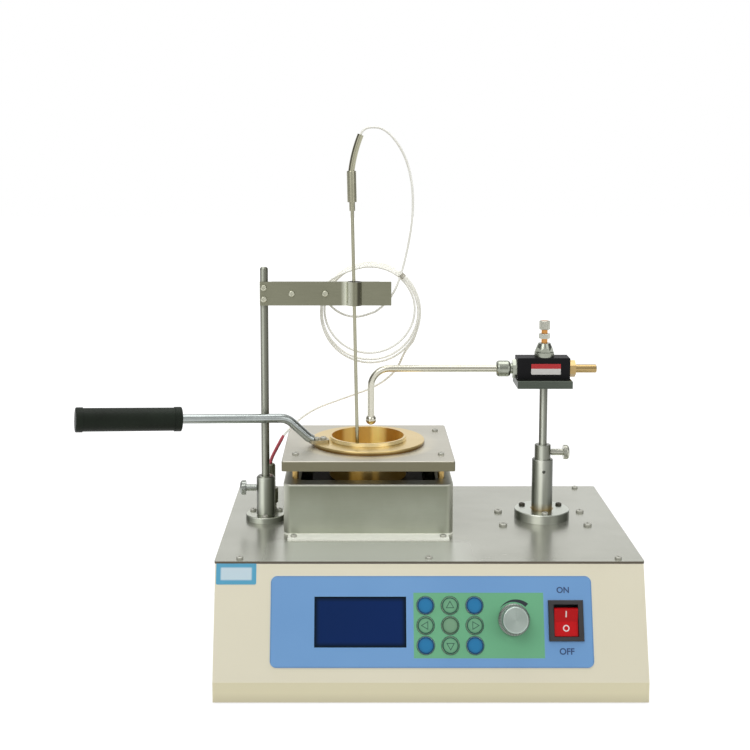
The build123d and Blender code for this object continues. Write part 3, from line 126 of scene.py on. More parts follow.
class Paint:
    def __init__(self, name, tree=None):
        if tree is None:
            self.material = bpy.data.materials.new(name)
            self.material.use_nodes = True
            tree = self.material.node_tree
        self.nodes, self.links = tree.nodes, tree.links
        self.nodes.clear()

    def node(self, kind, settings=None, inputs=None, output=0):
        made = self.nodes.new(kind)
        for name, value in (settings or {}).items():
            if name == "stops":
                ramp = made.color_ramp.elements
                while len(ramp) < len(value):
                    ramp.new(0.5)
                for stop, (position, colour) in zip(ramp, value):
                    stop.position, stop.color = position, colour
            else:
                setattr(made, name, value)
        for key, value in (inputs or {}).items():
            if isinstance(value, Signal):
                self.links.new(value.socket, made.inputs[key])
            else:
                made.inputs[key].default_value = value
        return Signal(self, made.outputs[output])

    def spot(self):  # the frame's own coordinates, which go with the piece
        return self.node("ShaderNodeTexCoord", output="Object")

    def axis(self, name):
        return self.node("ShaderNodeSeparateXYZ", inputs={0: self.spot()}, output="XYZ".index(name))

    def along(self, direction, start=(0, 0, 0)):
        offset = self.node("ShaderNodeVectorMath", {"operation": "SUBTRACT"}, {0: self.spot(), 1: start})
        return self.node("ShaderNodeVectorMath", {"operation": "DOT_PRODUCT"}, {0: offset, 1: direction}, 1)

    def vector(self, x, y, z):
        return self.node("ShaderNodeCombineXYZ", inputs={0: x, 1: y, 2: z})

    def noise(self, scale, stretch=(1, 1, 1), detail=2.0, rough=0.5, place=None):
        place = place or self.spot()
        place = self.node("ShaderNodeVectorMath", {"operation": "MULTIPLY"}, {0: place, 1: stretch})
        return self.node(
            "ShaderNodeTexNoise", inputs={"Vector": place, "Scale": scale, "Detail": detail, "Roughness": rough}
        )

    def mix(self, share, first, second):
        return self.node("ShaderNodeMix", {"data_type": "RGBA"}, {0: share, 6: first, 7: second}, 2)

    def bump(self, height, distance, strength=1.0, under=None):
        inputs = {"Height": height, "Distance": distance, "Strength": strength}
        if under:
            inputs["Normal"] = under
        return self.node("ShaderNodeBump", inputs=inputs)

    def finish(self, colour, rough, metal=0.0, **inputs):
        words = {"Base Color": colour, "Roughness": rough, "Metallic": metal}
        words.update({name.replace("_", " "): value for name, value in inputs.items()})
        self.close(self.node("ShaderNodeBsdfPrincipled", inputs=words))
        return self.material

    def close(self, shader, kind="ShaderNodeOutputMaterial"):
        self.links.new(shader.socket, self.nodes.new(kind).inputs["Surface"])


def tone(red, green, blue):  # a colour as a screen shows it, to the renderer's numbers
    def linear(value):
        value /= 255
        return value / 12.92 if value <= 0.04045 else ((value + 0.055) / 1.055) ** 2.4

    return (linear(red), linear(green), linear(blue), 1.0)


def dress(material, *names):
    for name in names:
        for place in nodes[name].material_slots:
            place.material = material
        if not nodes[name].material_slots:
            nodes[name].data.materials.append(material)


# mesh pieces
def makePiece(name, points, faces, material, body=None, slot=None, sharp=35):
    mesh = bpy.data.meshes.new(name)
    mesh.from_pydata([tuple(p) for p in points], [], faces)
    mesh.materials.append(material)
    mesh.validate()
    mesh.shade_smooth()
    mesh.set_sharp_from_angle(angle=math.radians(sharp))
    piece = bpy.data.objects.new(name, mesh)
    bpy.context.collection.objects.link(piece)
    if body:
        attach(piece, body)
    return piece


def ringsToMesh(rings, closed=True):  # rings of points joined one to the next, with a cap at each end
    count = len(rings[0])
    points = [p for ring in rings for p in ring]
    faces = []
    for i in range(len(rings) - 1):
        for j in range(count):
            k = (j + 1) % count
            faces.append((i * count + j, i * count + k, (i + 1) * count + k, (i + 1) * count + j))
    if closed:
        faces.append(tuple(range(count))[::-1])
        faces.append(tuple((len(rings) - 1) * count + j for j in range(count)))
    return points, faces


def lathe(profile, start, axis, steps=48):  # profile of (distance along the axis, radius)
    axis = Vector(axis).normalized()
    side = axis.orthogonal().normalized()
    up = axis.cross(side)
    rings = []
    for distance, radius in profile:
        middle = Vector(start) + axis * distance
        turns = [2 * math.pi * j / steps for j in range(steps)]
        rings.append([middle + (side * math.cos(t) + up * math.sin(t)) * max(radius, 1e-6) for t in turns])
    return ringsToMesh(rings)


def tube(path, radius, sides=12):  # radius is a number or a function of the share of the way
    normal = (path[1] - path[0]).orthogonal().normalized()
    rings = []
    for i, middle in enumerate(path):
        ahead = (path[min(i + 1, len(path) - 1)] - path[max(i - 1, 0)]).normalized()
        normal = (normal - ahead * normal.dot(ahead)).normalized()
        other = ahead.cross(normal)
        wide = radius(i / (len(path) - 1)) if callable(radius) else radius
        turns = [2 * math.pi * j / sides for j in range(sides)]
        rings.append([middle + (normal * math.cos(t) + other * math.sin(t)) * wide for t in turns])
    return ringsToMesh(rings)


def routeLine(name, points, fineness=8):  # the points that the route's smooth curve goes through
    curve = bpy.data.curves.new(name, "CURVE")
    curve.dimensions, curve.resolution_u = "3D", fineness
    spline = curve.splines.new("NURBS")
    spline.points.add(len(points) - 1)
    for point, place in zip(spline.points, points):
        point.co = (*place, 1.0)
    spline.order_u, spline.use_endpoint_u = 3, True
    holder = bpy.data.objects.new(name, curve)
    line = bpy.data.meshes.new_from_object(holder)
    path = [v.co.copy() for v in line.vertices]
    bpy.data.objects.remove(holder)
    bpy.data.meshes.remove(line)
    return path


# probe lead: from the probe's neck, over and down, round the hanging coil and down to the plug
leadLook = {
    "diameter": 0.002,
    "jacket": (252, 252, 246),
    "shade": (236, 235, 226),
    # painted light: the jacket's faint glow, which lifts the thin lead
    "glow": (84, 83, 77),
    "sleeve": (232, 104, 118),
    "tie": (172, 168, 152),
}


def leadPaint():
    paint = Paint("lead_jacket")
    braid = paint.noise(1400, (1, 1, 1), 1.0)
    soil = paint.noise(60, detail=3.0)
    colour = paint.mix(soil.above(0.55, 0.4), tone(*leadLook["jacket"]), tone(*leadLook["shade"]))
    bump = paint.bump(braid, 0.00004, 0.4)
    # the jacket glows a little: painted light that lifts the thin white lead
    return paint.finish(
        colour, 0.42 + braid * 0.2, Emission_Color=tone(*leadLook["glow"]), Emission_Strength=1.0, Normal=bump
    )


def sleevePaint():
    paint = Paint("sleeve_red")
    grain = paint.noise(700, detail=2.0)
    dark = tuple(int(v * 0.8) for v in leadLook["sleeve"])
    colour = paint.mix(grain, tone(*leadLook["sleeve"]), tone(*dark))
    return paint.finish(colour, 0.4 + grain * 0.15, Normal=paint.bump(grain, 0.00005, 0.4))


def tiePaint():
    paint = Paint("tie_thread")
    thread = paint.noise(2600, detail=1.0)
    colour = paint.mix(thread, tone(*leadLook["tie"]), tone(204, 201, 188))
    return paint.finish(colour, 0.8, Normal=paint.bump(thread, 0.00008, 0.8))


def coilPoint(turns):  # the coil's middle line: a small loop from the drop, then the ring's turns
    angle = math.radians(180.0 - 360.0 * turns)
    share = min(max((turns + 0.10) / 0.30, 0.0), 1.0)
    blend = share * share * (3 - 2 * share)
    grow = 1 - (1 - min(max(turns, 0.0), 3.0) / 3.0) ** 2
    ringRadius = 0.0376 + 0.0068 * grow
    ringZ = 0.2832 + 0.0064 * (1 - grow)
    radius = 0.0305 + (ringRadius - 0.0305) * blend
    x = -0.0583 + 0.0128 * blend
    z = 0.3116 + (ringZ - 0.3116) * blend
    loose = max(math.sin(-angle), 0.0) * blend  # the turns part at the foot of the ring
    radius += (0.0012 * math.floor(max(turns, 0.0)) - 0.0022) * loose
    radius += (0.0009 * math.floor(max(turns, 0.0)) - 0.0013) * max(math.sin(angle), 0.0) * blend
    y = 0.03255 + 0.0029 * turns - 0.0012 * (1 - blend)
    return Vector((x + radius * math.cos(angle), y, z + radius * math.sin(angle)))


coilStart, coilEnd = coilPoint(-0.344), coilPoint(3.594)
leadSplit = Vector((-0.08353, 0.06037, 0.19836))
sleeveEnd = Vector((-0.1232, 0.04865, 0.1719))
dropRoute = [
    (-0.05423, 0.01795, 0.43931), (-0.05331, 0.01788, 0.44155), (-0.05156, 0.01784, 0.44343),
    (-0.04896, 0.01794, 0.44496), (-0.04458, 0.01812, 0.44566), (-0.03679, 0.01850, 0.44519),
    (-0.02790, 0.01937, 0.43885), (-0.01842, 0.02070, 0.42562), (-0.01228, 0.02229, 0.40898),
    (-0.00928, 0.02393, 0.39011), (-0.00949, 0.02584, 0.36756), (-0.01332, 0.02782, 0.34248),
    (-0.01839, 0.02949, 0.32127), (-0.02412, 0.03020, 0.30445), (-0.03384, 0.03022, 0.29128), coilStart,
]
coilRoute = [coilPoint(-0.344 + 3.938 * i / 63) for i in range(64)]
highRoute = [
    coilEnd, (-0.01363, 0.04307, 0.25100), (-0.01692, 0.04797, 0.24391), (-0.01889, 0.05604, 0.23654),
    (-0.02369, 0.06200, 0.22714), (-0.03322, 0.06525, 0.21790), (-0.04573, 0.06705, 0.21054),
    (-0.06379, 0.06519, 0.20456), leadSplit,
]
lowRoute = [
    leadSplit, (-0.08910, 0.05901, 0.19661), (-0.09990, 0.05621, 0.19189), (-0.11036, 0.05291, 0.18466),
    (-0.11766, 0.05057, 0.17775), sleeveEnd, (-0.1288, 0.04800, 0.1615), (-0.1351, 0.04737, 0.1493),
    (-0.1353, 0.04735, 0.1447),
]
sleeveRoute = [
    (-0.1353, 0.04735, 0.1447), (-0.1351, 0.04737, 0.1493), (-0.1288, 0.04800, 0.1615), sleeveEnd,
]
jacket, sleeveRed = leadPaint(), sleevePaint()


def leadPiece(name, route, node, fineness=8):
    path = routeLine(name, route, fineness)
    piece = makePiece(name, *tube(path, leadLook["diameter"] / 2), jacket, slot="white_lead")
    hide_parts(node)
    return piece, path


drop, dropPath = leadPiece("probe_lead_drop", dropRoute, "lead_drop")
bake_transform(drop)
coil, coilPath = leadPiece("probe_lead_coil", coilRoute, "lead_coil", 5)
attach(coil, "probe_stand")
high, highPath = leadPiece("probe_lead_tail_high", highRoute, "lead_tail_high")
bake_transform(high)
low, lowPath = leadPiece("probe_lead_tail_low", lowRoute, "lead_tail_low")
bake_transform(low)


def plugPaint():
    paint = Paint("plug_nickel")
    grain = paint.noise(400, (1, 1, 6), 2.0)
    colour = paint.mix(grain, tone(138, 138, 120), tone(96, 96, 80))
    return paint.finish(colour, 0.26 + grain * 0.16, 1.0, Normal=paint.bump(grain, 0.00003, 0.4))


sleevePath = routeLine("sleeve", sleeveRoute)
sleeve = makePiece(
    "red_sleeve", *tube(sleevePath, lambda s: 0.0015 if s < 0.93 else 0.0015 - (s - 0.93) * 0.005), sleeveRed,
    "case", "red_plastic",
)
plugProfile = [
    (0.1110, 0.0055), (0.1110, 0.0066), (0.1114, 0.0070), (0.1132, 0.0070), (0.1134, 0.0066), (0.1138, 0.0066),
    (0.1140, 0.0070), (0.1212, 0.0070), (0.1214, 0.0066), (0.1218, 0.0066), (0.1220, 0.0070), (0.1240, 0.0070),
    (0.1244, 0.0066), (0.1244, 0.0046), (0.1300, 0.0046), (0.1302, 0.0043), (0.1308, 0.0043), (0.1310, 0.0046),
    (0.1446, 0.0046), (0.1456, 0.0043), (0.1463, 0.0036), (0.1467, 0.0024), (0.1467, 0.0015),
]


def knurled(points, low, high, axisX, axisY, count, depth):  # every other point of the band goes in a little
    for p in points:
        if low < p.z < high:
            angle = math.atan2(p.y - axisY, p.x - axisX)
            if round(angle / math.pi * count) % 2:
                p.x += (axisX - p.x) * depth
                p.y += (axisY - p.y) * depth
    return points


plugPoints, plugFaces = lathe(plugProfile, (-0.1353, 0.04735, 0), (0, 0, 1), 72)
knurled(plugPoints, 0.1139, 0.1213, -0.1353, 0.04735, 36, 0.05)
plug = makePiece("round_plug", plugPoints, plugFaces, plugPaint(), "case", "nickel", 25)
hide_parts("probe_plug")
tieLook = {"turns": 4, "pitch": 0.0011, "wire": 0.00045, "across": 0.0023, "deep": 0.0080}
strands = [coilPoint(0.362 + i) for i in range(4)]
tieMiddle = sum(strands, Vector()) / 4 - Vector((0.0006, 0.0024, 0))
tieAhead = (coilPoint(2.37) - coilPoint(2.354)).normalized()
tieOut = tieAhead.cross(Vector((0, 1, 0))).normalized()
tiePath = []
for i in range(24 * tieLook["turns"] + 1):  # a soft wire wound round the turns and the lead beside them
    angle = math.pi * i / 12
    ahead = tieAhead * (tieLook["pitch"] * (i / 24 - tieLook["turns"] / 2))
    away = tieOut * (tieLook["across"] * math.cos(angle)) + Vector((0, tieLook["deep"] * math.sin(angle), 0))
    tiePath.append(tieMiddle + ahead + away)
tie = makePiece("coil_tie", *tube(tiePath, tieLook["wire"], 8), tiePaint(), "probe_stand", "black_plastic")
print("probe lead laid")


# floor, world and lamps
studioLook = {
    "floor": (255, 255, 255),
    "bounce": (150, 148, 144),  # what the floor gives back to the object
    "glow": 1.2,
    "shadow": 0.35,  # share of the floor's own light that the camera sees
    "room": 0.62,
    "ceiling": 0.8,
    "mirrored": [  # round the object, from the backdrop by the left, the camera and the right to the backdrop
        (0.0, 1.0), (0.11, 1.0), (0.16, 0.2), (0.36, 0.14), (0.40, 1.25), (0.46, 1.1), (0.49, 0.5),
        (0.53, 0.45), (0.57, 0.9), (0.60, 0.8), (0.64, 0.1), (0.84, 0.16), (0.89, 1.0), (1.0, 1.0),
    ],
    "lamps": {
        "key": ((-0.9, -1.3, 1.7), 1.1, 11.0),
        "fill": ((1.3, -1.1, 0.9), 1.0, 5.0),
        "top": ((0.0, 0.3, 2.0), 1.4, 13.0),
    },
}


def floorPaint():
    paint = Paint("floor_white")
    ray = paint.node("ShaderNodeLightPath", output="Is Camera Ray")
    plain = paint.node("ShaderNodeBsdfDiffuse", inputs={"Color": tone(*studioLook["floor"])})
    glow = paint.node("ShaderNodeEmission", inputs={"Color": (1, 1, 1, 1), "Strength": studioLook["glow"]})
    place = paint.spot()
    away = paint.node("ShaderNodeVectorMath", {"operation": "LENGTH"}, {0: place}, 1)
    shadow = away.below(0.75, 0.5) * studioLook["shadow"]
    both = paint.node("ShaderNodeMixShader", inputs={0: shadow, 1: glow, 2: plain})
    dull = paint.node("ShaderNodeBsdfDiffuse", inputs={"Color": tone(*studioLook["bounce"])})
    seen = ray + ray.output("Is Glossy Ray") + ray.output("Is Transmission Ray")
    paint.close(paint.node("ShaderNodeMixShader", inputs={0: seen.below(0.5, 0.2), 1: both, 2: dull}))
    return paint.material


def studioWorld():  # what shiny metal mirrors: a white backdrop, dark sides, two soft boxes by the camera
    world = bpy.data.worlds.new("studio")
    world.use_nodes = True
    bpy.context.scene.world = world
    paint = Paint("studio", world.node_tree)
    ray = paint.node("ShaderNodeLightPath", output="Is Camera Ray")
    toward = paint.node("ShaderNodeTexCoord", output="Generated")
    side = paint.node("ShaderNodeSeparateXYZ", inputs={0: toward})
    turn = side.math("ARCTAN2", side.output("Y") * -1) * (0.5 / math.pi) + 0.5
    stops = [(place, (value, value, value, 1)) for place, value in studioLook["mirrored"]]
    around = paint.node("ShaderNodeValToRGB", {"stops": stops}, {0: turn})
    level = paint.node("ShaderNodeSeparateXYZ", inputs={0: around})
    overhead = side.output("Z").above(0.62, 0.3)
    mirrored = level + (studioLook["ceiling"] - level) * overhead
    shiny = ray.output("Is Glossy Ray") + ray.output("Is Transmission Ray")
    strength = ray + shiny * mirrored + (1 - ray - shiny) * studioLook["room"]
    sky = paint.node("ShaderNodeBackground", inputs={"Color": (1, 1, 1, 1), "Strength": strength})
    paint.close(sky, "ShaderNodeOutputWorld")


def lamp(name, place, size, power):
    light = bpy.data.lights.new(name, "AREA")
    light.shape, light.size, light.energy = "SQUARE", size, power
    holder = bpy.data.objects.new(name, light)
    holder.location = place
    aim = Vector((0, 0, 0.15)) - Vector(place)
    holder.rotation_euler = aim.to_track_quat("-Z", "Y").to_euler()
    bpy.context.collection.objects.link(holder)


floorPoints = [(-6, -6, 0), (6, -6, 0), (6, 6, 0), (-6, 6, 0)]
floor = makePiece("floor", floorPoints, [(0, 1, 2, 3)], floorPaint())
studioWorld()
for name, (place, size, power) in studioLook["lamps"].items():
    lamp(name, place, size, power)
print("studio lit")


# finishes that several pieces share
reflectionStops = [  # painted reflection: how light an upright steel round is painted, from its left side by the front and the right to the back
    (0.0, 0.0), (0.08, 0.04), (0.14, 0.4), (0.185, 0.9), (0.215, 0.9), (0.245, 0.42), (0.28, 0.26),
    (0.34, 0.14), (0.42, 0.0), (0.5, 0.2), (0.62, 0.6), (0.72, 0.9), (0.8, 0.5), (0.92, 0.3), (1.0, 0.0),
]


def roundReflection(paint, middle, stops, light, dark):  # painted light and dark reflection bands of a round thing
    back, across = paint.axis("Y") - middle[1], paint.axis("X") - middle[0]
    turn = back.math("ARCTAN2", across) * (0.5 / math.pi) + 0.5
    stops = [(place, (value, value, value, 1)) for place, value in stops]
    level = paint.node("ShaderNodeValToRGB", {"stops": stops}, {0: turn})
    return paint.mix(level, tone(*dark), tone(*light))


def brushedMetal(name, look):  # long fine scratches one way, soft blotches under them
    paint = Paint(name)
    lines = paint.noise(look.get("grain", 900), look["stretch"], 3.0, 0.6)
    blotch = paint.noise(look.get("blotch", 14), detail=3.0)
    share = lines * 0.5 + blotch.above(0.5, 0.5) * 0.5
    colour = paint.mix(share, tone(*look["light"]), tone(*look["dark"]))
    rough = look["rough"] + lines * 0.12 + blotch * 0.08
    bump = paint.bump(lines, look.get("depth", 0.00004), look.get("strength", 0.35))
    return paint.finish(colour, rough, look.get("metal", 1.0), Normal=bump)


def turnedMetal(name, look):  # rings round an axis, as a lathe leaves them
    paint = Paint(name)
    axis, start = look["axis"], look["start"]
    along = paint.along(axis, start)
    others = [v for v in ((1, 0, 0), (0, 1, 0), (0, 0, 1)) if abs(Vector(v).dot(Vector(axis))) < 0.5]
    across = [paint.along(v, start) for v in others]
    away = (across[0] * across[0] + across[1] * across[1]).math("SQRT")
    place = paint.vector(along, away, 0.0)
    rings = paint.noise(look.get("grain", 2600), (1, 1, 1), 2.0, 0.6, place)
    blotch = paint.noise(look.get("blotch", 35), detail=2.0)
    metal = 1.0
    colour = paint.mix(rings * 0.4 + blotch * 0.6, tone(*look["light"]), tone(*look["dark"]))
    if look.get("bands"):  # painted reflection bands on the round walls; the flat top between the two radii stays plain
        inner, outer, light, dark = look["bands"]
        wall = away.below(inner, 0.0004) + away.above(outer, 0.0004)
        bands = roundReflection(paint, start, reflectionStops, light, dark)
        colour = paint.mix(wall * (0.9 + rings * 0.1), colour, bands)
        metal = 1 - wall * 0.7
    rough = look["rough"] + rings * 0.1 + blotch * 0.06
    bump = paint.bump(rings, look.get("depth", 0.00002), look.get("strength", 0.15))
    return paint.finish(colour, rough, metal, Normal=bump)


def plainMetal(name, look):
    paint = Paint(name)
    fine = paint.noise(look.get("grain", 700), detail=3.0, rough=0.6)
    blotch = paint.noise(look.get("blotch", 50), detail=2.0)
    colour = paint.mix(fine * 0.4 + blotch * 0.6, tone(*look["light"]), tone(*look["dark"]))
    bump = paint.bump(fine, look.get("depth", 0.00003), 0.4)
    return paint.finish(colour, look["rough"] + fine * 0.14, look.get("metal", 1.0), Normal=bump)


def mouldedPlastic(name, look):
    paint = Paint(name)
    grain = paint.noise(look.get("grain", 1500), detail=2.0)
    wear = paint.noise(look.get("blotch", 40), detail=3.0)
    colour = paint.mix(wear.above(0.5, 0.6), tone(*look["light"]), tone(*look["dark"]))
    bump = paint.bump(grain, look.get("depth", 0.00005), look.get("strength", 0.5))
    shine = look.get("shine", 0.5)
    return paint.finish(colour, look["rough"] + grain * 0.12, 0.0, Specular_IOR_Level=shine, Normal=bump)


# case: cream paint over folded sheet, zinc pan, rubber feet
caseLook = {"light": (240, 235, 212), "dark": (234, 228, 203), "skirt": (250, 243, 208), "rough": 0.42}


def casePaint():
    paint = Paint("case_cream")
    peel = paint.noise(620, detail=2.0)
    cloud = paint.noise(7, detail=3.0)
    colour = paint.mix(cloud.above(0.5, 0.7), tone(*caseLook["light"]), tone(*caseLook["dark"]))
    # painted light: the upright skirt painted lighter than the slope, to lift the shade on it
    skirt = paint.axis("Z").below(0.0172, 0.0006)
    colour = paint.mix(skirt, colour, tone(*caseLook["skirt"]))
    # painted shade: darker towards the bottom edge, by the floor
    low = paint.axis("Z").below(0.004, 0.010)
    colour = paint.mix(low * 0.35, colour, tone(176, 166, 140))
    return paint.finish(colour, caseLook["rough"] + peel * 0.1, 0.0, Normal=paint.bump(peel, 0.00006, 0.35))


def zincPaint():
    paint = Paint("pan_zinc")
    spangle = paint.node("ShaderNodeTexVoronoi", inputs={"Vector": paint.spot(), "Scale": 110.0}, output="Color")
    value = paint.node("ShaderNodeSeparateXYZ", inputs={0: spangle})
    colour = paint.mix(value, tone(172, 176, 178), tone(138, 142, 146))
    return paint.finish(colour, 0.4 + value * 0.15, 1.0, Normal=paint.bump(value, 0.00003, 0.3))


feetLook = {"light": (44, 44, 44), "dark": (30, 30, 30), "rough": 0.72, "grain": 900}
dress(casePaint(), "case_shell")
dress(zincPaint(), "base_pan")
dress(mouldedPlastic("foot_rubber", feetLook), "rubber_feet")


# deck: brushed steel plate with its screws
deckLook = {"light": (190, 191, 180), "dark": (166, 167, 155), "paintedLift": (196, 199, 188), "edge": (92, 86, 74),
            "rough": 0.16}


def deckPaint():
    paint = Paint("deck_steel")
    lines = paint.noise(700, (0.05, 1, 1), 3.0, 0.6)
    fleck = paint.noise(1500, detail=1.0)
    blotch = paint.noise(9, (1, 1.6, 1), 4.0, 0.6)
    colour = paint.mix(blotch.above(0.5, 0.5) * 0.6 + fleck * 0.4, tone(*deckLook["light"]), tone(*deckLook["dark"]))
    height, across = paint.axis("Z"), paint.axis("Y")
    # painted shade: the deck's front edge face dark
    edge = height.below(0.1039, 0.0001) * across.below(-0.0915, 0.0002)
    colour = paint.mix(edge, colour, tone(*deckLook["edge"]))
    before = across.below(-0.0425, 0.012) * paint.axis("X").near(-0.0478, 0.076, 0.03)  # painted light: lighter and less metallic in front of the heater, to lift the dark reflection of the heater box
    colour = paint.mix(before * (1 - edge), colour, tone(*deckLook["paintedLift"]))
    rough = deckLook["rough"] + lines * 0.05 + blotch * 0.12
    bump = paint.bump(lines * 0.5 + fleck * 0.2, 0.00001, 0.1)
    return paint.finish(colour, rough, 0.75 - before * 0.45, Normal=bump)


screwLook = {"light": (198, 198, 188), "dark": (176, 176, 166), "socket": (74, 72, 62), "rough": 0.5}


def screwPaint():  # like the deck, but black on the burner stand's base
    paint = Paint("screw_steel")
    fine = paint.noise(600, detail=2.0)
    colour = paint.mix(fine, tone(*screwLook["light"]), tone(*screwLook["dark"]))
    across, back = paint.axis("X") - 0.1057, paint.axis("Y") - 0.02605
    away = (across * across + back * back).math("SQRT")
    socket = away.below(0.0240, 0.0004) * back.above(-0.004, 0.001)
    colour = paint.mix(socket, colour, tone(*screwLook["socket"]))
    return paint.finish(colour, screwLook["rough"] + fine * 0.1, 0.7, Normal=paint.bump(fine, 0.00002, 0.3))


dress(deckPaint(), "deck_plate")
dress(screwPaint(), "m3_screws", "m4_screws", "cup_handle_screws")
print("case and deck painted")


# control panel: places on the slope are metres across from the middle and down from the deck's edge
panelTop = Vector((0, -0.09265, 0.104))
panelDown = Vector((0, -0.33345, -0.94277))
panelOut = Vector((0, -0.94277, 0.33345))
overlayLook = {
    "film": (122, 172, 224),
    "shade": (112, 162, 216),
    "edge": (88, 138, 196),
    "field": (116, 190, 144),
    "fieldShade": (108, 180, 136),
    "frame": (2, 22, 36),
    "ink": (26, 66, 74),
    "keyColumns": 0.0156,
    "keyRows": 0.0492,
    "keyPitch": (0.0192, 0.0151),
    "knob": (0.0654, 0.0448),
}


def onPanel(across, down, height=0.0):
    return panelTop + Vector((across, 0, 0)) + panelDown * down + panelOut * height


def panelAxes(paint):
    return paint.axis("X"), paint.along(tuple(panelDown), tuple(panelTop))


def field(across, down, middle, half, soft=0.0002):  # 1 inside a rectangle
    return across.near(middle[0], half[0], soft) * down.near(middle[1], half[1], soft)


def distance(across, down, middle):
    u, v = across - middle[0], down - middle[1]
    return (u * u + v * v).math("SQRT")


def foldedKeys(across, down):  # each key's own middle becomes 0, 0
    pitchX, pitchY = overlayLook["keyPitch"]
    u = (across - overlayLook["keyColumns"]).math("WRAP", pitchX / 2, -pitchX / 2)
    v = (down - overlayLook["keyRows"]).math("WRAP", pitchY / 2, -pitchY / 2)
    return u, v


def overlayPaint():
    look = overlayLook
    paint = Paint("overlay_film")
    across, down = panelAxes(paint)
    cloud = paint.noise(12, detail=2.0)
    fine = paint.noise(1800, detail=1.0)
    blue = paint.mix(cloud.above(0.5, 0.6), tone(*look["film"]), tone(*look["shade"]))
    border = 1 - field(across, down, (0.001, 0.0463), (0.1252, 0.0339), 0.0006)
    blue = paint.mix(border * 0.7, blue, tone(*look["edge"]))
    green = paint.mix(cloud.above(0.5, 0.6), tone(*look["field"]), tone(*look["fieldShade"]))
    colour = paint.mix(field(across, down, (0.038, 0.0491), (0.051, 0.02475)), blue, green)
    u, v = foldedKeys(across, down)
    keyArea = field(across, down, (0.0156, 0.0492), (0.0288, 0.0227))
    rim = distance(u, v, (0, 0)).near(0.0070, 0.0003, 0.0002) * keyArea
    colour = paint.mix(rim * 0.75, colour, tone(*look["ink"]))
    away = distance(across, down, look["knob"])
    turn = (look["knob"][1] - down).math("ARCTAN2", across - look["knob"][0])
    share = (2.44 - turn) * (1 / 1.64)  # 0 at the thin end, 1 at the thick one
    wedge = (away - 0.0136 - share * 0.0032).below(0, 0.0002) * away.above(0.0134, 0.0002)
    wedge = wedge * share.above(0, 0.01) * share.below(1, 0.01)
    colour = paint.mix(wedge, colour, tone(34, 44, 52))
    bump = paint.bump(fine, 0.00002, 0.3)
    return paint.finish(colour, 0.34 + cloud * 0.08, 0.0, Coat_Weight=0.05, Coat_Roughness=0.3, Normal=bump)


def windowPaint():
    paint = Paint("display_blue")
    across, down = panelAxes(paint)
    cloud = paint.noise(16, (1, 1, 1), 1.0)
    inner = field(across, down, (-0.0547, 0.0466), (0.0336, 0.0168), 0.0032)
    blue = paint.mix(cloud, tone(2, 38, 94), tone(0, 34, 82))
    colour = paint.mix(inner, tone(*overlayLook["frame"]), blue)
    dots = across.math("WRAP", 0.0005, 0.0).near(0.00025, 0.00022, 0.00004)
    dots = dots * down.math("WRAP", 0.0005, 0.0).near(0.00025, 0.00022, 0.00004)
    colour = paint.mix(dots * inner * 0.12, colour, tone(40, 70, 140))
    return paint.finish(colour, 0.45 + cloud * 0.1, 0.0, Specular_IOR_Level=0.12)


def keyPaint(name, look):  # look: its middle, its colour, and the way that its arrow points
    paint = Paint(name)
    across, down = panelAxes(paint)
    u, v = across - look["middle"][0], look["middle"][1] - down
    away = (u * u + v * v).math("SQRT")
    fine = paint.noise(1600, detail=1.0)
    colour = paint.mix(away.below(0.0052, 0.004), tone(*look["edge"]), tone(*look["face"]))
    colour = paint.mix(away.near(0.0058, 0.00042, 0.0002) * 0.9, colour, tone(*look["ink"]))
    if look.get("arrow") is not None:
        turn = math.radians(look["arrow"])
        p = u * math.cos(turn) + v * math.sin(turn)
        q = abs(v * math.cos(turn) - u * math.sin(turn))
        reach = (p * -1).math("MAXIMUM", p * 0.5 + q * 0.866)
        colour = paint.mix(reach.near(0.00165, 0.00024, 0.00014), colour, tone(*look["ink"]))
    bump = paint.bump(away.below(0.0046, 0.0012) * 0.8 + fine * 0.1, 0.00022, 0.5)
    return paint.finish(colour, 0.4 + fine * 0.08, 0.0, Specular_IOR_Level=0.3, Normal=bump)


blueKey = {"face": (38, 126, 178), "edge": (24, 100, 152), "ink": (16, 62, 96)}
greenKey = {"face": (118, 176, 138), "edge": (98, 156, 118), "ink": (26, 66, 62)}
centreKey = {"face": (124, 166, 134), "edge": (98, 146, 112), "ink": (44, 70, 58)}
keyRow = {
    "key_top_left": (-1, -1, blueKey, None), "key_up": (0, -1, greenKey, 90),
    "key_top_right": (1, -1, blueKey, None), "key_left": (-1, 0, greenKey, 180),
    "key_centre": (0, 0, centreKey, None), "key_right": (1, 0, greenKey, 0),
    "key_bottom_left": (-1, 1, blueKey, None), "key_down": (0, 1, greenKey, 270),
    "key_bottom_right": (1, 1, blueKey, None),
}
for name, (column, row, look, arrow) in keyRow.items():
    middle = (0.0156 + 0.0192 * column, 0.0492 + 0.0151 * row)
    dress(keyPaint(name + "_cap", {**look, "middle": middle, "arrow": arrow}), name)
dress(overlayPaint(), "front_overlay")
dress(windowPaint(), "display_window")

knobLook = {"light": (208, 220, 212), "dark": (156, 170, 162), "rough": 0.3, "groove": (66, 60, 50), "ribs": 60}


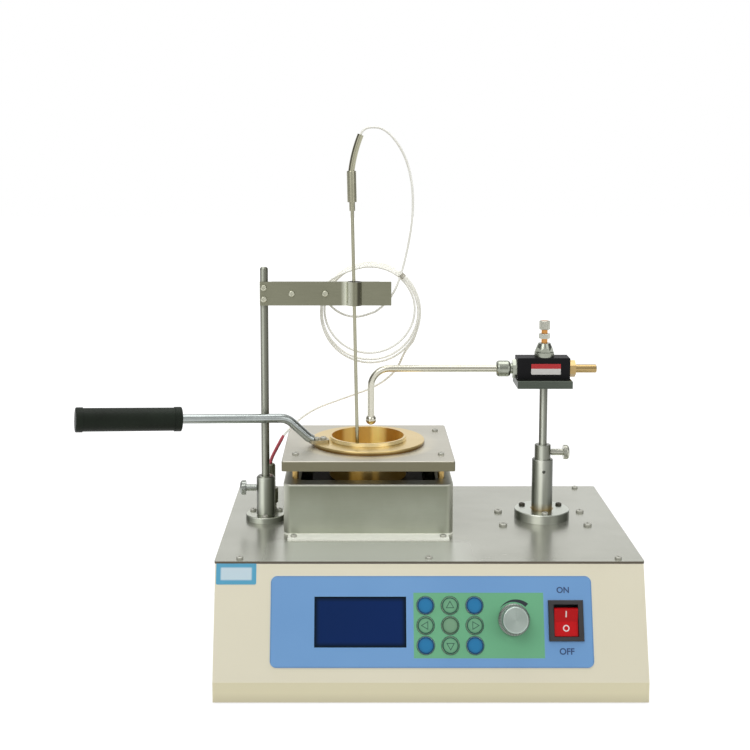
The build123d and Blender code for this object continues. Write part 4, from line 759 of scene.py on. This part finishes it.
def knobPaint():
    paint = Paint("knob_aluminium")
    across, down = panelAxes(paint)
    away = distance(across, down, overlayLook["knob"])
    rings = paint.noise(2400, (1, 1, 1), 2.0, 0.6, paint.vector(away, 0.0, 0.0))
    colour = paint.mix(rings, tone(*knobLook["light"]), tone(*knobLook["dark"]))
    turn = (overlayLook["knob"][1] - down).math("ARCTAN2", across - overlayLook["knob"][0])
    ribs = (turn * knobLook["ribs"]).math("SINE") * 0.5 + 0.5
    # painted shade: the knurled side darker, darkest in its grooves
    side = away.above(0.0103, 0.0006)
    shade = side * (ribs * 0.5 + 0.3)
    colour = paint.mix(shade, colour, tone(*knobLook["groove"]))
    sweep = (turn * 2 + 0.7).math("SINE") * 0.5 + 0.5  # light fans out over a turned face
    colour = paint.mix(sweep * (1 - side) * 0.5, colour, tone(*knobLook["dark"]))
    bump = paint.bump(rings * 0.2 + ribs * side, 0.0001, 0.4)
    return paint.finish(colour, knobLook["rough"] + rings * 0.12, 0.85, Normal=bump)


def rockerPaint():
    paint = Paint("rocker_red")
    across, down = panelAxes(paint)
    fine = paint.noise(1200, detail=1.0)
    # painted light: the lower half of the paddle lighter
    height = down.above(0.0462, 0.0006)
    colour = paint.mix(fine, tone(206, 10, 20), tone(190, 8, 16))
    colour = paint.mix(height * 0.35, colour, tone(226, 16, 22))
    line = field(across, down, (0.1062, 0.0405), (0.0005, 0.0024), 0.00015)
    ring = distance(across, down, (0.1062, 0.0513)).near(0.0021, 0.00045, 0.00015)
    colour = paint.mix((line + ring).math("MINIMUM", 1.0), colour, tone(246, 236, 234))
    return paint.finish(colour, 0.34 + fine * 0.06, 0.0, Specular_IOR_Level=0.25)


dress(knobPaint(), "control_knob")
dress(rockerPaint(), "rocker_paddle")
rockerLook = {"light": (52, 50, 52), "dark": (38, 36, 38), "rough": 0.42}
dress(mouldedPlastic("rocker_black", rockerLook), "rocker_body")


def lettering(name, text, across, down, height, material):
    curve = bpy.data.curves.new(name, "FONT")
    curve.body, curve.size, curve.extrude = text, height / 0.69, 0.00004
    curve.align_x, curve.align_y, curve.offset = "CENTER", "CENTER", 0.00016
    holder = bpy.data.objects.new(name, curve)
    mesh = bpy.data.meshes.new_from_object(holder)
    bpy.data.objects.remove(holder)
    place = Matrix.Identity(4)
    for i, column in enumerate(((1, 0, 0), -panelDown, panelOut)):
        for j in range(3):
            place[j][i] = column[j]
    place.translation = onPanel(across, down, 0.00055)
    mesh.transform(place)
    mesh.materials.append(material)
    piece = bpy.data.objects.new(name, mesh)
    bpy.context.collection.objects.link(piece)
    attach(piece, "case")


def inkPaint():
    paint = Paint("panel_ink")
    fine = paint.noise(900, detail=2.0)
    return paint.finish(paint.mix(fine, tone(50, 78, 124), tone(42, 68, 112)), 0.5)


ink = inkPaint()
lettering("word_on", "ON", 0.1046, 0.0225, 0.0044, ink)
lettering("word_off", "OFF", 0.1062, 0.0690, 0.0046, ink)

labelLook = {"left": -0.1684, "right": -0.1367, "top": 0.0016, "bottom": 0.0181, "thick": 0.00015}


def labelPaint():
    paint = Paint("label_plain")
    across, down = panelAxes(paint)
    fine = paint.noise(300, detail=2.0)
    middle = ((labelLook["left"] + labelLook["right"]) / 2, (labelLook["top"] + labelLook["bottom"]) / 2)
    inner = field(across, down, middle, (0.0122, 0.0048), 0.0012)
    colour = paint.mix(inner, tone(86, 172, 208), tone(206, 228, 238))
    return paint.finish(colour, 0.3 + fine * 0.1, 0.0, Coat_Weight=0.3, Coat_Roughness=0.15)


def roundedOutline(left, right, top, bottom, corner, steps=5):
    points = []
    for x, y, start in ((right, top, 0), (left, top, 90), (left, bottom, 180), (right, bottom, 270)):
        cx, cy = x + (corner if x == left else -corner), y + (corner if y == top else -corner)
        for i in range(steps + 1):
            angle = math.radians(start + 90 * i / steps)
            points.append((cx + corner * math.cos(angle), cy - corner * math.sin(angle)))
    return points


def flatSheet(outline, place, thick):  # a thin sheet with the outline's shape, set by place(u, v, height)
    low = [place(u, v, 0.0) for u, v in outline]
    return ringsToMesh([low, [place(u, v, thick) for u, v in outline]])


outline = roundedOutline(labelLook["left"], labelLook["right"], labelLook["top"], labelLook["bottom"], 0.0012)
makePiece(
    "panel_label", *flatSheet(outline, lambda u, v, h: onPanel(u, v, h), labelLook["thick"]), labelPaint(),
    "case", "case_paint",
)
print("control panel dressed")


# heater: folded steel box, stand-offs, thick plate, black block
heaterLook = {
    "box": {"light": (190, 194, 180), "dark": (170, 174, 158), "top": (124, 127, 110), "rim": (204, 205, 192),
            "foot": (248, 249, 238), "rough": 0.34},
    "plate": {"light": (205, 202, 190), "dark": (184, 181, 168), "edge": (122, 118, 97), "warm": (240, 230, 202),
              "rough": 0.36},
    "block": {"light": (46, 44, 42), "dark": (28, 27, 26), "rough": 0.6, "metal": 0.3, "grain": 500},
    "brass": {"light": (214, 184, 122), "dark": (176, 142, 82), "rough": 0.24},
    "nozzle": {"light": (194, 168, 118), "dark": (152, 128, 84), "rough": 0.2, "grain": 300, "depth": 0.00001},
}


def heaterBoxPaint():
    look, low, high = heaterLook["box"], *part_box("heater_box")
    paint = Paint("heater_sheet")
    lines = paint.noise(900, (0.06, 1, 1), 3.0, 0.6)
    cloud = paint.noise(26, (1, 1, 0.8), 3.0, 0.6)
    colour = paint.mix(lines * 0.3 + cloud.above(0.5, 0.4) * 0.7, tone(*look["light"]), tone(*look["dark"]))
    height, across, back = paint.axis("Z"), paint.axis("X"), paint.axis("Y")
    # painted shade: darker towards the top
    upward = height.above(low.z + 0.026, 0.036)
    colour = paint.mix(upward, colour, tone(*look["top"]))
    # painted highlight: light rims along the side edges and the top edge
    fromSide = ((across - low.x).math("MINIMUM", high.x - across)).below(0.0035, 0.005)
    rim = fromSide.math("MAXIMUM", height.above(high.z - 0.0014, 0.0008))
    # painted highlight: the foot and its front strip near white and less metallic
    foot = height.below(low.z + 0.0016, 0.0006).math("MAXIMUM", back.below(low.y + 0.0045, 0.001))
    colour = paint.mix(rim * 0.8, colour, tone(*look["rim"]))
    colour = paint.mix(foot, colour, tone(*look["foot"]))
    bump = paint.bump(lines, 0.00003, 0.2)
    return paint.finish(colour, look["rough"] + lines * 0.08 + cloud * 0.1, 1.0 - foot * 0.9, Normal=bump)


def fromCup(paint):
    across, back = paint.axis("X") + 0.0478, paint.axis("Y") - 0.03785
    return (across * across + back * back).math("SQRT")


def heaterPlatePaint():
    look, high = heaterLook["plate"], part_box("heater_plate")[1]
    paint = Paint("heater_plate_ground")
    lines = paint.noise(900, (0.05, 1, 1), 3.0, 0.6)
    cloud = paint.noise(12, detail=3.0)
    colour = paint.mix(lines * 0.4 + cloud.above(0.5, 0.5) * 0.6, tone(*look["light"]), tone(*look["dark"]))
    front = paint.axis("Y").below(0.008, 0.03)
    warm = fromCup(paint).near(0.054, 0.005, 0.008) * (0.15 + front * 0.5)  # light off the brass flange
    colour = paint.mix(warm, colour, tone(*look["warm"]))
    # painted shade: the plate's side faces dark below its top
    edge = paint.axis("Z").below(high.z - 0.0006, 0.0004)
    colour = paint.mix(edge, colour, tone(*look["edge"]))
    return paint.finish(colour, look["rough"] + lines * 0.12, 0.9, Normal=paint.bump(lines, 0.00003, 0.25))


dress(heaterBoxPaint(), "heater_box")
dress(heaterPlatePaint(), "heater_plate")
dress(plainMetal("heater_block_black", heaterLook["block"]), "heater_block")
brass = plainMetal("brass", heaterLook["brass"])
dress(brass, "heater_standoffs")
dress(plainMetal("nozzle_brass", heaterLook["nozzle"]), "hose_nozzle")

# test cup of turned brass with its handle
cupLook = {
    "light": (230, 208, 152),
    "dark": (210, 184, 124),
    "bore": [  # painted reflection: how light the bore is painted, from its left side by the front and the right to the back
        (0.0, 0.1), (0.1, 0.3), (0.2, 0.7), (0.3, 0.9), (0.4, 0.4), (0.52, 0.25), (0.60, 0.05), (0.655, 0.1),
        (0.675, 0.75), (0.70, 1.0), (0.725, 0.85), (0.74, 0.3), (0.80, 0.2), (0.825, 0.65), (0.86, 0.6),
        (0.885, 0.05), (1.0, 0.05),
    ],
    "boreLight": (255, 246, 176),
    "boreDark": (186, 134, 44),
    "boreGlow": (104, 82, 34),
    "lip": (252, 238, 192),
    "rim": (112, 84, 36),
    "body": [  # and the body under the plate, painted as a glow of reflected light in the shaded gap
        (0.0, 0.1), (0.165, 0.1), (0.185, 0.9), (0.215, 1.0), (0.235, 0.25), (0.262, 0.15), (0.272, 0.6),
        (0.285, 0.55), (0.30, 0.1), (0.6, 0.2), (0.7, 0.8), (0.8, 0.2), (1.0, 0.1),
    ],
    "bodyGlow": (112, 84, 30),
    "bracket": {"light": (196, 188, 164), "dark": (150, 140, 112), "rough": 0.28},
    "rod": {"light": (180, 186, 184), "dark": (134, 140, 138), "rough": 0.12, "grain": 300},
    "grip": {"light": (28, 38, 27), "dark": (12, 18, 9), "rough": 0.45, "shine": 0.18},
}


def cupPaint():  # turned brass, with light and dark streaks of the room painted in as reflections, and a painted glow where it lies in shade
    paint = Paint("cup_brass")
    away, height = fromCup(paint), paint.axis("Z")
    rings = paint.noise(1800, (1, 1, 1), 2.0, 0.6, paint.vector(height, away, 0.0))
    blotch = paint.noise(35, detail=2.0)
    colour = paint.mix(rings * 0.4 + blotch * 0.6, tone(*cupLook["light"]), tone(*cupLook["dark"]))
    inside = away.below(0.0323, 0.0004)
    # painted reflections in the bore
    bore = roundReflection(paint, (-0.0478, 0.03785), cupLook["bore"], cupLook["boreLight"], cupLook["boreDark"])
    colour = paint.mix(inside, colour, bore)
    # painted highlight: the outside of the lip light and less metallic
    lip = away.near(0.0338, 0.0012, 0.0004) * height.above(0.1720, 0.0002) * height.below(0.1746, 0.0002)
    colour = paint.mix(lip, colour, tone(*cupLook["lip"]))
    # painted shade: the flange's outer edge dark brown
    rim = away.above(0.0498, 0.0002) * height.below(0.1704, 0.0016)
    colour = paint.mix(rim, colour, tone(*cupLook["rim"]))
    # painted reflection: a glow of light and dark streaks on the body under the plate and in the bore
    body = height.below(0.1596, 0.0004) * away.above(0.0330, 0.0004)
    glow = roundReflection(paint, (-0.0478, 0.03785), cupLook["body"], cupLook["bodyGlow"], (0, 0, 0))
    lit = roundReflection(paint, (-0.0478, 0.03785), cupLook["bore"], cupLook["boreGlow"], (0, 0, 0))
    glow = paint.mix(body, paint.mix(inside, (0, 0, 0, 1), lit), glow)
    rough = 0.22 + rings * 0.1 + blotch * 0.06
    metal = 1 - inside * 0.5 - lip * 0.4 - rim * 0.6
    bump = paint.bump(rings, 0.00002, 0.15)
    return paint.finish(colour, rough, metal, Emission_Color=glow, Emission_Strength=1.0, Normal=bump)


dress(cupPaint(), "test_cup")
dress(plainMetal("bracket_steel", cupLook["bracket"]), "cup_handle_bracket")
dress(plainMetal("handle_rod", cupLook["rod"]), "cup_handle_rod")
dress(mouldedPlastic("grip_black", cupLook["grip"]), "cup_handle_grip")
print("heater and cup dressed")


# probe stand, probe and burner stand
# bands: inner and outer radius of the round walls, then the light and dark of their painted reflection bands
standLook = {
    "base": {"light": (206, 209, 196), "dark": (182, 185, 170), "rough": 0.17, "axis": (0, 0, 1),
             "start": (-0.1375, 0.02145, 0), "bands": (0.0084, 0.0171, (250, 255, 240), (48, 52, 36))},
    "rod": {"light": (150, 152, 136), "dark": (120, 122, 106), "rough": 0.14, "axis": (0, 0, 1),
            "start": (-0.1375, 0.02145, 0), "bands": (0.02, 0.03, (204, 208, 192), (66, 66, 50))},
    "burnerBase": {"light": (210, 215, 205), "dark": (184, 188, 176), "rough": 0.2, "axis": (0, 0, 1),
                   "start": (0.1057, 0.02605, 0), "bands": (0.0095, 0.0236, (252, 255, 242), (46, 52, 38))},
    "burnerRod": {"light": (150, 152, 136), "dark": (120, 122, 106), "rough": 0.14, "axis": (0, 0, 1),
                  "start": (0.1057, 0.02605, 0), "bands": (0.02, 0.03, (230, 234, 220), (70, 72, 58))},
    "braze": (150, 122, 58),
    "arm": {"light": (142, 142, 122), "dark": (122, 122, 102), "rough": 0.3, "stretch": (0.06, 1, 1),
            "strength": 0.15},
    "screws": {"light": (206, 206, 188), "dark": (172, 172, 152), "rough": 0.3},
    "sheath": {"light": (182, 180, 158), "dark": (148, 146, 124), "rough": 0.18},
    "saddle": {"light": (96, 102, 94), "dark": (62, 68, 60), "rough": 0.3, "stretch": (0.06, 1, 1)},
    "nickel": {"light": (196, 197, 186), "dark": (166, 166, 154), "rough": 0.18, "grain": 300, "depth": 0.00001},
    "lockScrew": {"light": (170, 174, 168), "dark": (132, 136, 130), "rough": 0.2, "grain": 300, "depth": 0.00001},
    "tube": {"light": (216, 213, 199), "dark": (188, 186, 170), "rough": 0.18, "depth": 0.00001, "grain": 300},
    "bonnet": {"light": (178, 182, 170), "dark": (128, 132, 118), "rough": 0.2, "depth": 0.00001, "grain": 300},
    "copper": (214, 160, 92),
    "bush": {"light": (60, 58, 54), "dark": (42, 40, 38), "rough": 0.5},
    "valve": {"light": (20, 20, 22), "dark": (12, 12, 14), "rough": 0.45, "shine": 0.15},
}


def armPaint():  # the front strip, with painted light on the left of its bulge and painted shade on its right
    paint = Paint("arm_front_steel")
    look, middle = standLook["arm"], -0.0599
    across = paint.axis("X") - middle
    lines = paint.noise(900, look["stretch"], 3.0, 0.6)
    cloud = paint.noise(22, detail=2.0)
    colour = paint.mix(lines * 0.5 + cloud * 0.5, tone(*look["light"]), tone(*look["dark"]))
    # painted light on the left of the bulge, painted shade on its right
    colour = paint.mix(across.near(-0.0060, 0.0034, 0.004), colour, tone(214, 216, 198))
    colour = paint.mix(across.near(0.0040, 0.0014, 0.0016) * 0.85, colour, tone(58, 56, 44))
    return paint.finish(colour, look["rough"] + lines * 0.1, 0.8, Normal=paint.bump(lines, 0.00002, 0.15))


def burnerBasePaint():  # bright steel with painted reflection bands on its round walls, coloured by the heat where the sleeve is brazed to the base
    look, inner, outer = standLook["burnerBase"], *standLook["burnerBase"]["bands"][:2]
    paint = Paint("burner_base_steel")
    across, back, height = paint.axis("X") - look["start"][0], paint.axis("Y") - look["start"][1], paint.axis("Z")
    away = (across * across + back * back).math("SQRT")
    rings = paint.noise(2600, (1, 1, 1), 2.0, 0.6, paint.vector(height, away, 0.0))
    blotch = paint.noise(120, detail=3.0)
    colour = paint.mix(rings * 0.4 + blotch * 0.6, tone(*look["light"]), tone(*look["dark"]))
    wall = away.below(inner, 0.0004) + away.above(outer, 0.0004)
    bands = roundReflection(paint, look["start"], reflectionStops, *look["bands"][2:])
    colour = paint.mix(wall * 0.95, colour, bands)
    heat = (height + blotch * 0.004).below(0.1170, 0.006) * away.below(0.0102, 0.0004)
    colour = paint.mix(heat * 0.7, colour, tone(*standLook["braze"]))
    return paint.finish(colour, look["rough"] + rings * 0.08, 1 - wall * 0.6, Normal=paint.bump(rings, 0.00002, 0.1))


def spindlePaint():  # a bare brass stem, with its steel nut and knurled head
    paint = Paint("spindle_brass")
    across, back = paint.axis("X") - 0.1057, paint.axis("Y") - 0.02605
    away = (across * across + back * back).math("SQRT")
    fine = paint.noise(900, detail=2.0)
    stem = paint.mix(fine, tone(*standLook["copper"]), tone(176, 116, 58))
    steel = paint.mix(fine, tone(*standLook["nickel"]["light"]), tone(*standLook["nickel"]["dark"]))
    colour = paint.mix(away.above(0.0031, 0.0002), stem, steel)
    return paint.finish(colour, 0.22 + fine * 0.1, 1.0, Normal=paint.bump(fine, 0.00002, 0.3))


dress(turnedMetal("probe_base_steel", standLook["base"]), "probe_post_base")
dress(turnedMetal("probe_rod_steel", standLook["rod"]), "probe_post_rod")
dress(turnedMetal("burner_rod_steel", standLook["burnerRod"]), "burner_collar", "burner_rod")
dress(turnedMetal("liner_steel", standLook["rod"]), "probe_post_liner")
dress(burnerBasePaint(), "burner_post_base")
dress(plainMetal("arm_screw_steel", standLook["screws"]), "arm_screws")
dress(armPaint(), "arm_front_strip")
dress(brushedMetal("arm_steel", standLook["arm"]), "arm_back_strip")
dress(plainMetal("probe_sheath_steel", standLook["sheath"]), "probe_sheath", "probe_head")
dress(brushedMetal("saddle_steel", standLook["saddle"]), "burner_saddle")
nickel = plainMetal("nickel", standLook["nickel"])
dress(nickel, "probe_socket", "burner_thumb_screw")
dress(plainMetal("bonnet_steel", standLook["bonnet"]), "valve_bonnet", "tube_fitting")
dress(plainMetal("lock_screw_steel", standLook["lockScrew"]), "probe_post_thumb_screw")
dress(spindlePaint(), "valve_spindle", "valve_knob")
dress(plainMetal("tube_steel", standLook["tube"]), "burner_tube")
dress(mouldedPlastic("bush_dark", standLook["bush"]), "probe_bush")
dress(mouldedPlastic("valve_black", standLook["valve"]), "valve_block")

valveLook = {"left": 0.0933, "right": 0.1189, "low": 0.2330, "high": 0.2423, "front": 0.01685}


def valveLabelPaint():
    paint = Paint("valve_label")
    height = paint.axis("Z")
    fine = paint.noise(500, detail=2.0)
    split = height.above(0.2381, 0.0002)
    return paint.finish(paint.mix(split, tone(226, 224, 220), tone(196, 40, 44)), 0.32 + fine * 0.1)


outline = roundedOutline(valveLook["left"], valveLook["right"], -valveLook["high"], -valveLook["low"], 0.0006, 3)
makePiece(
    "valve_label", *flatSheet(outline, lambda u, v, h: Vector((u, valveLook["front"] - h, -v)), 0.0002),
    valveLabelPaint(), "burner", "valve_black",
)

# inside and behind
insideLook = {
    "boards": {"light": (40, 110, 70), "dark": (30, 92, 58), "rough": 0.45},
    "core": {"light": (96, 92, 88), "dark": (66, 62, 60), "rough": 0.5, "metal": 0.6},
    "inlet": {"light": (36, 36, 38), "dark": (26, 26, 28), "rough": 0.45},
}
dress(mouldedPlastic("board_green", insideLook["boards"]), "circuit_boards")
dress(plainMetal("core_steel", insideLook["core"]), "transformer")
dress(mouldedPlastic("inlet_black", insideLook["inlet"]), "mains_inlet")
print("stands, burner and inside dressed")
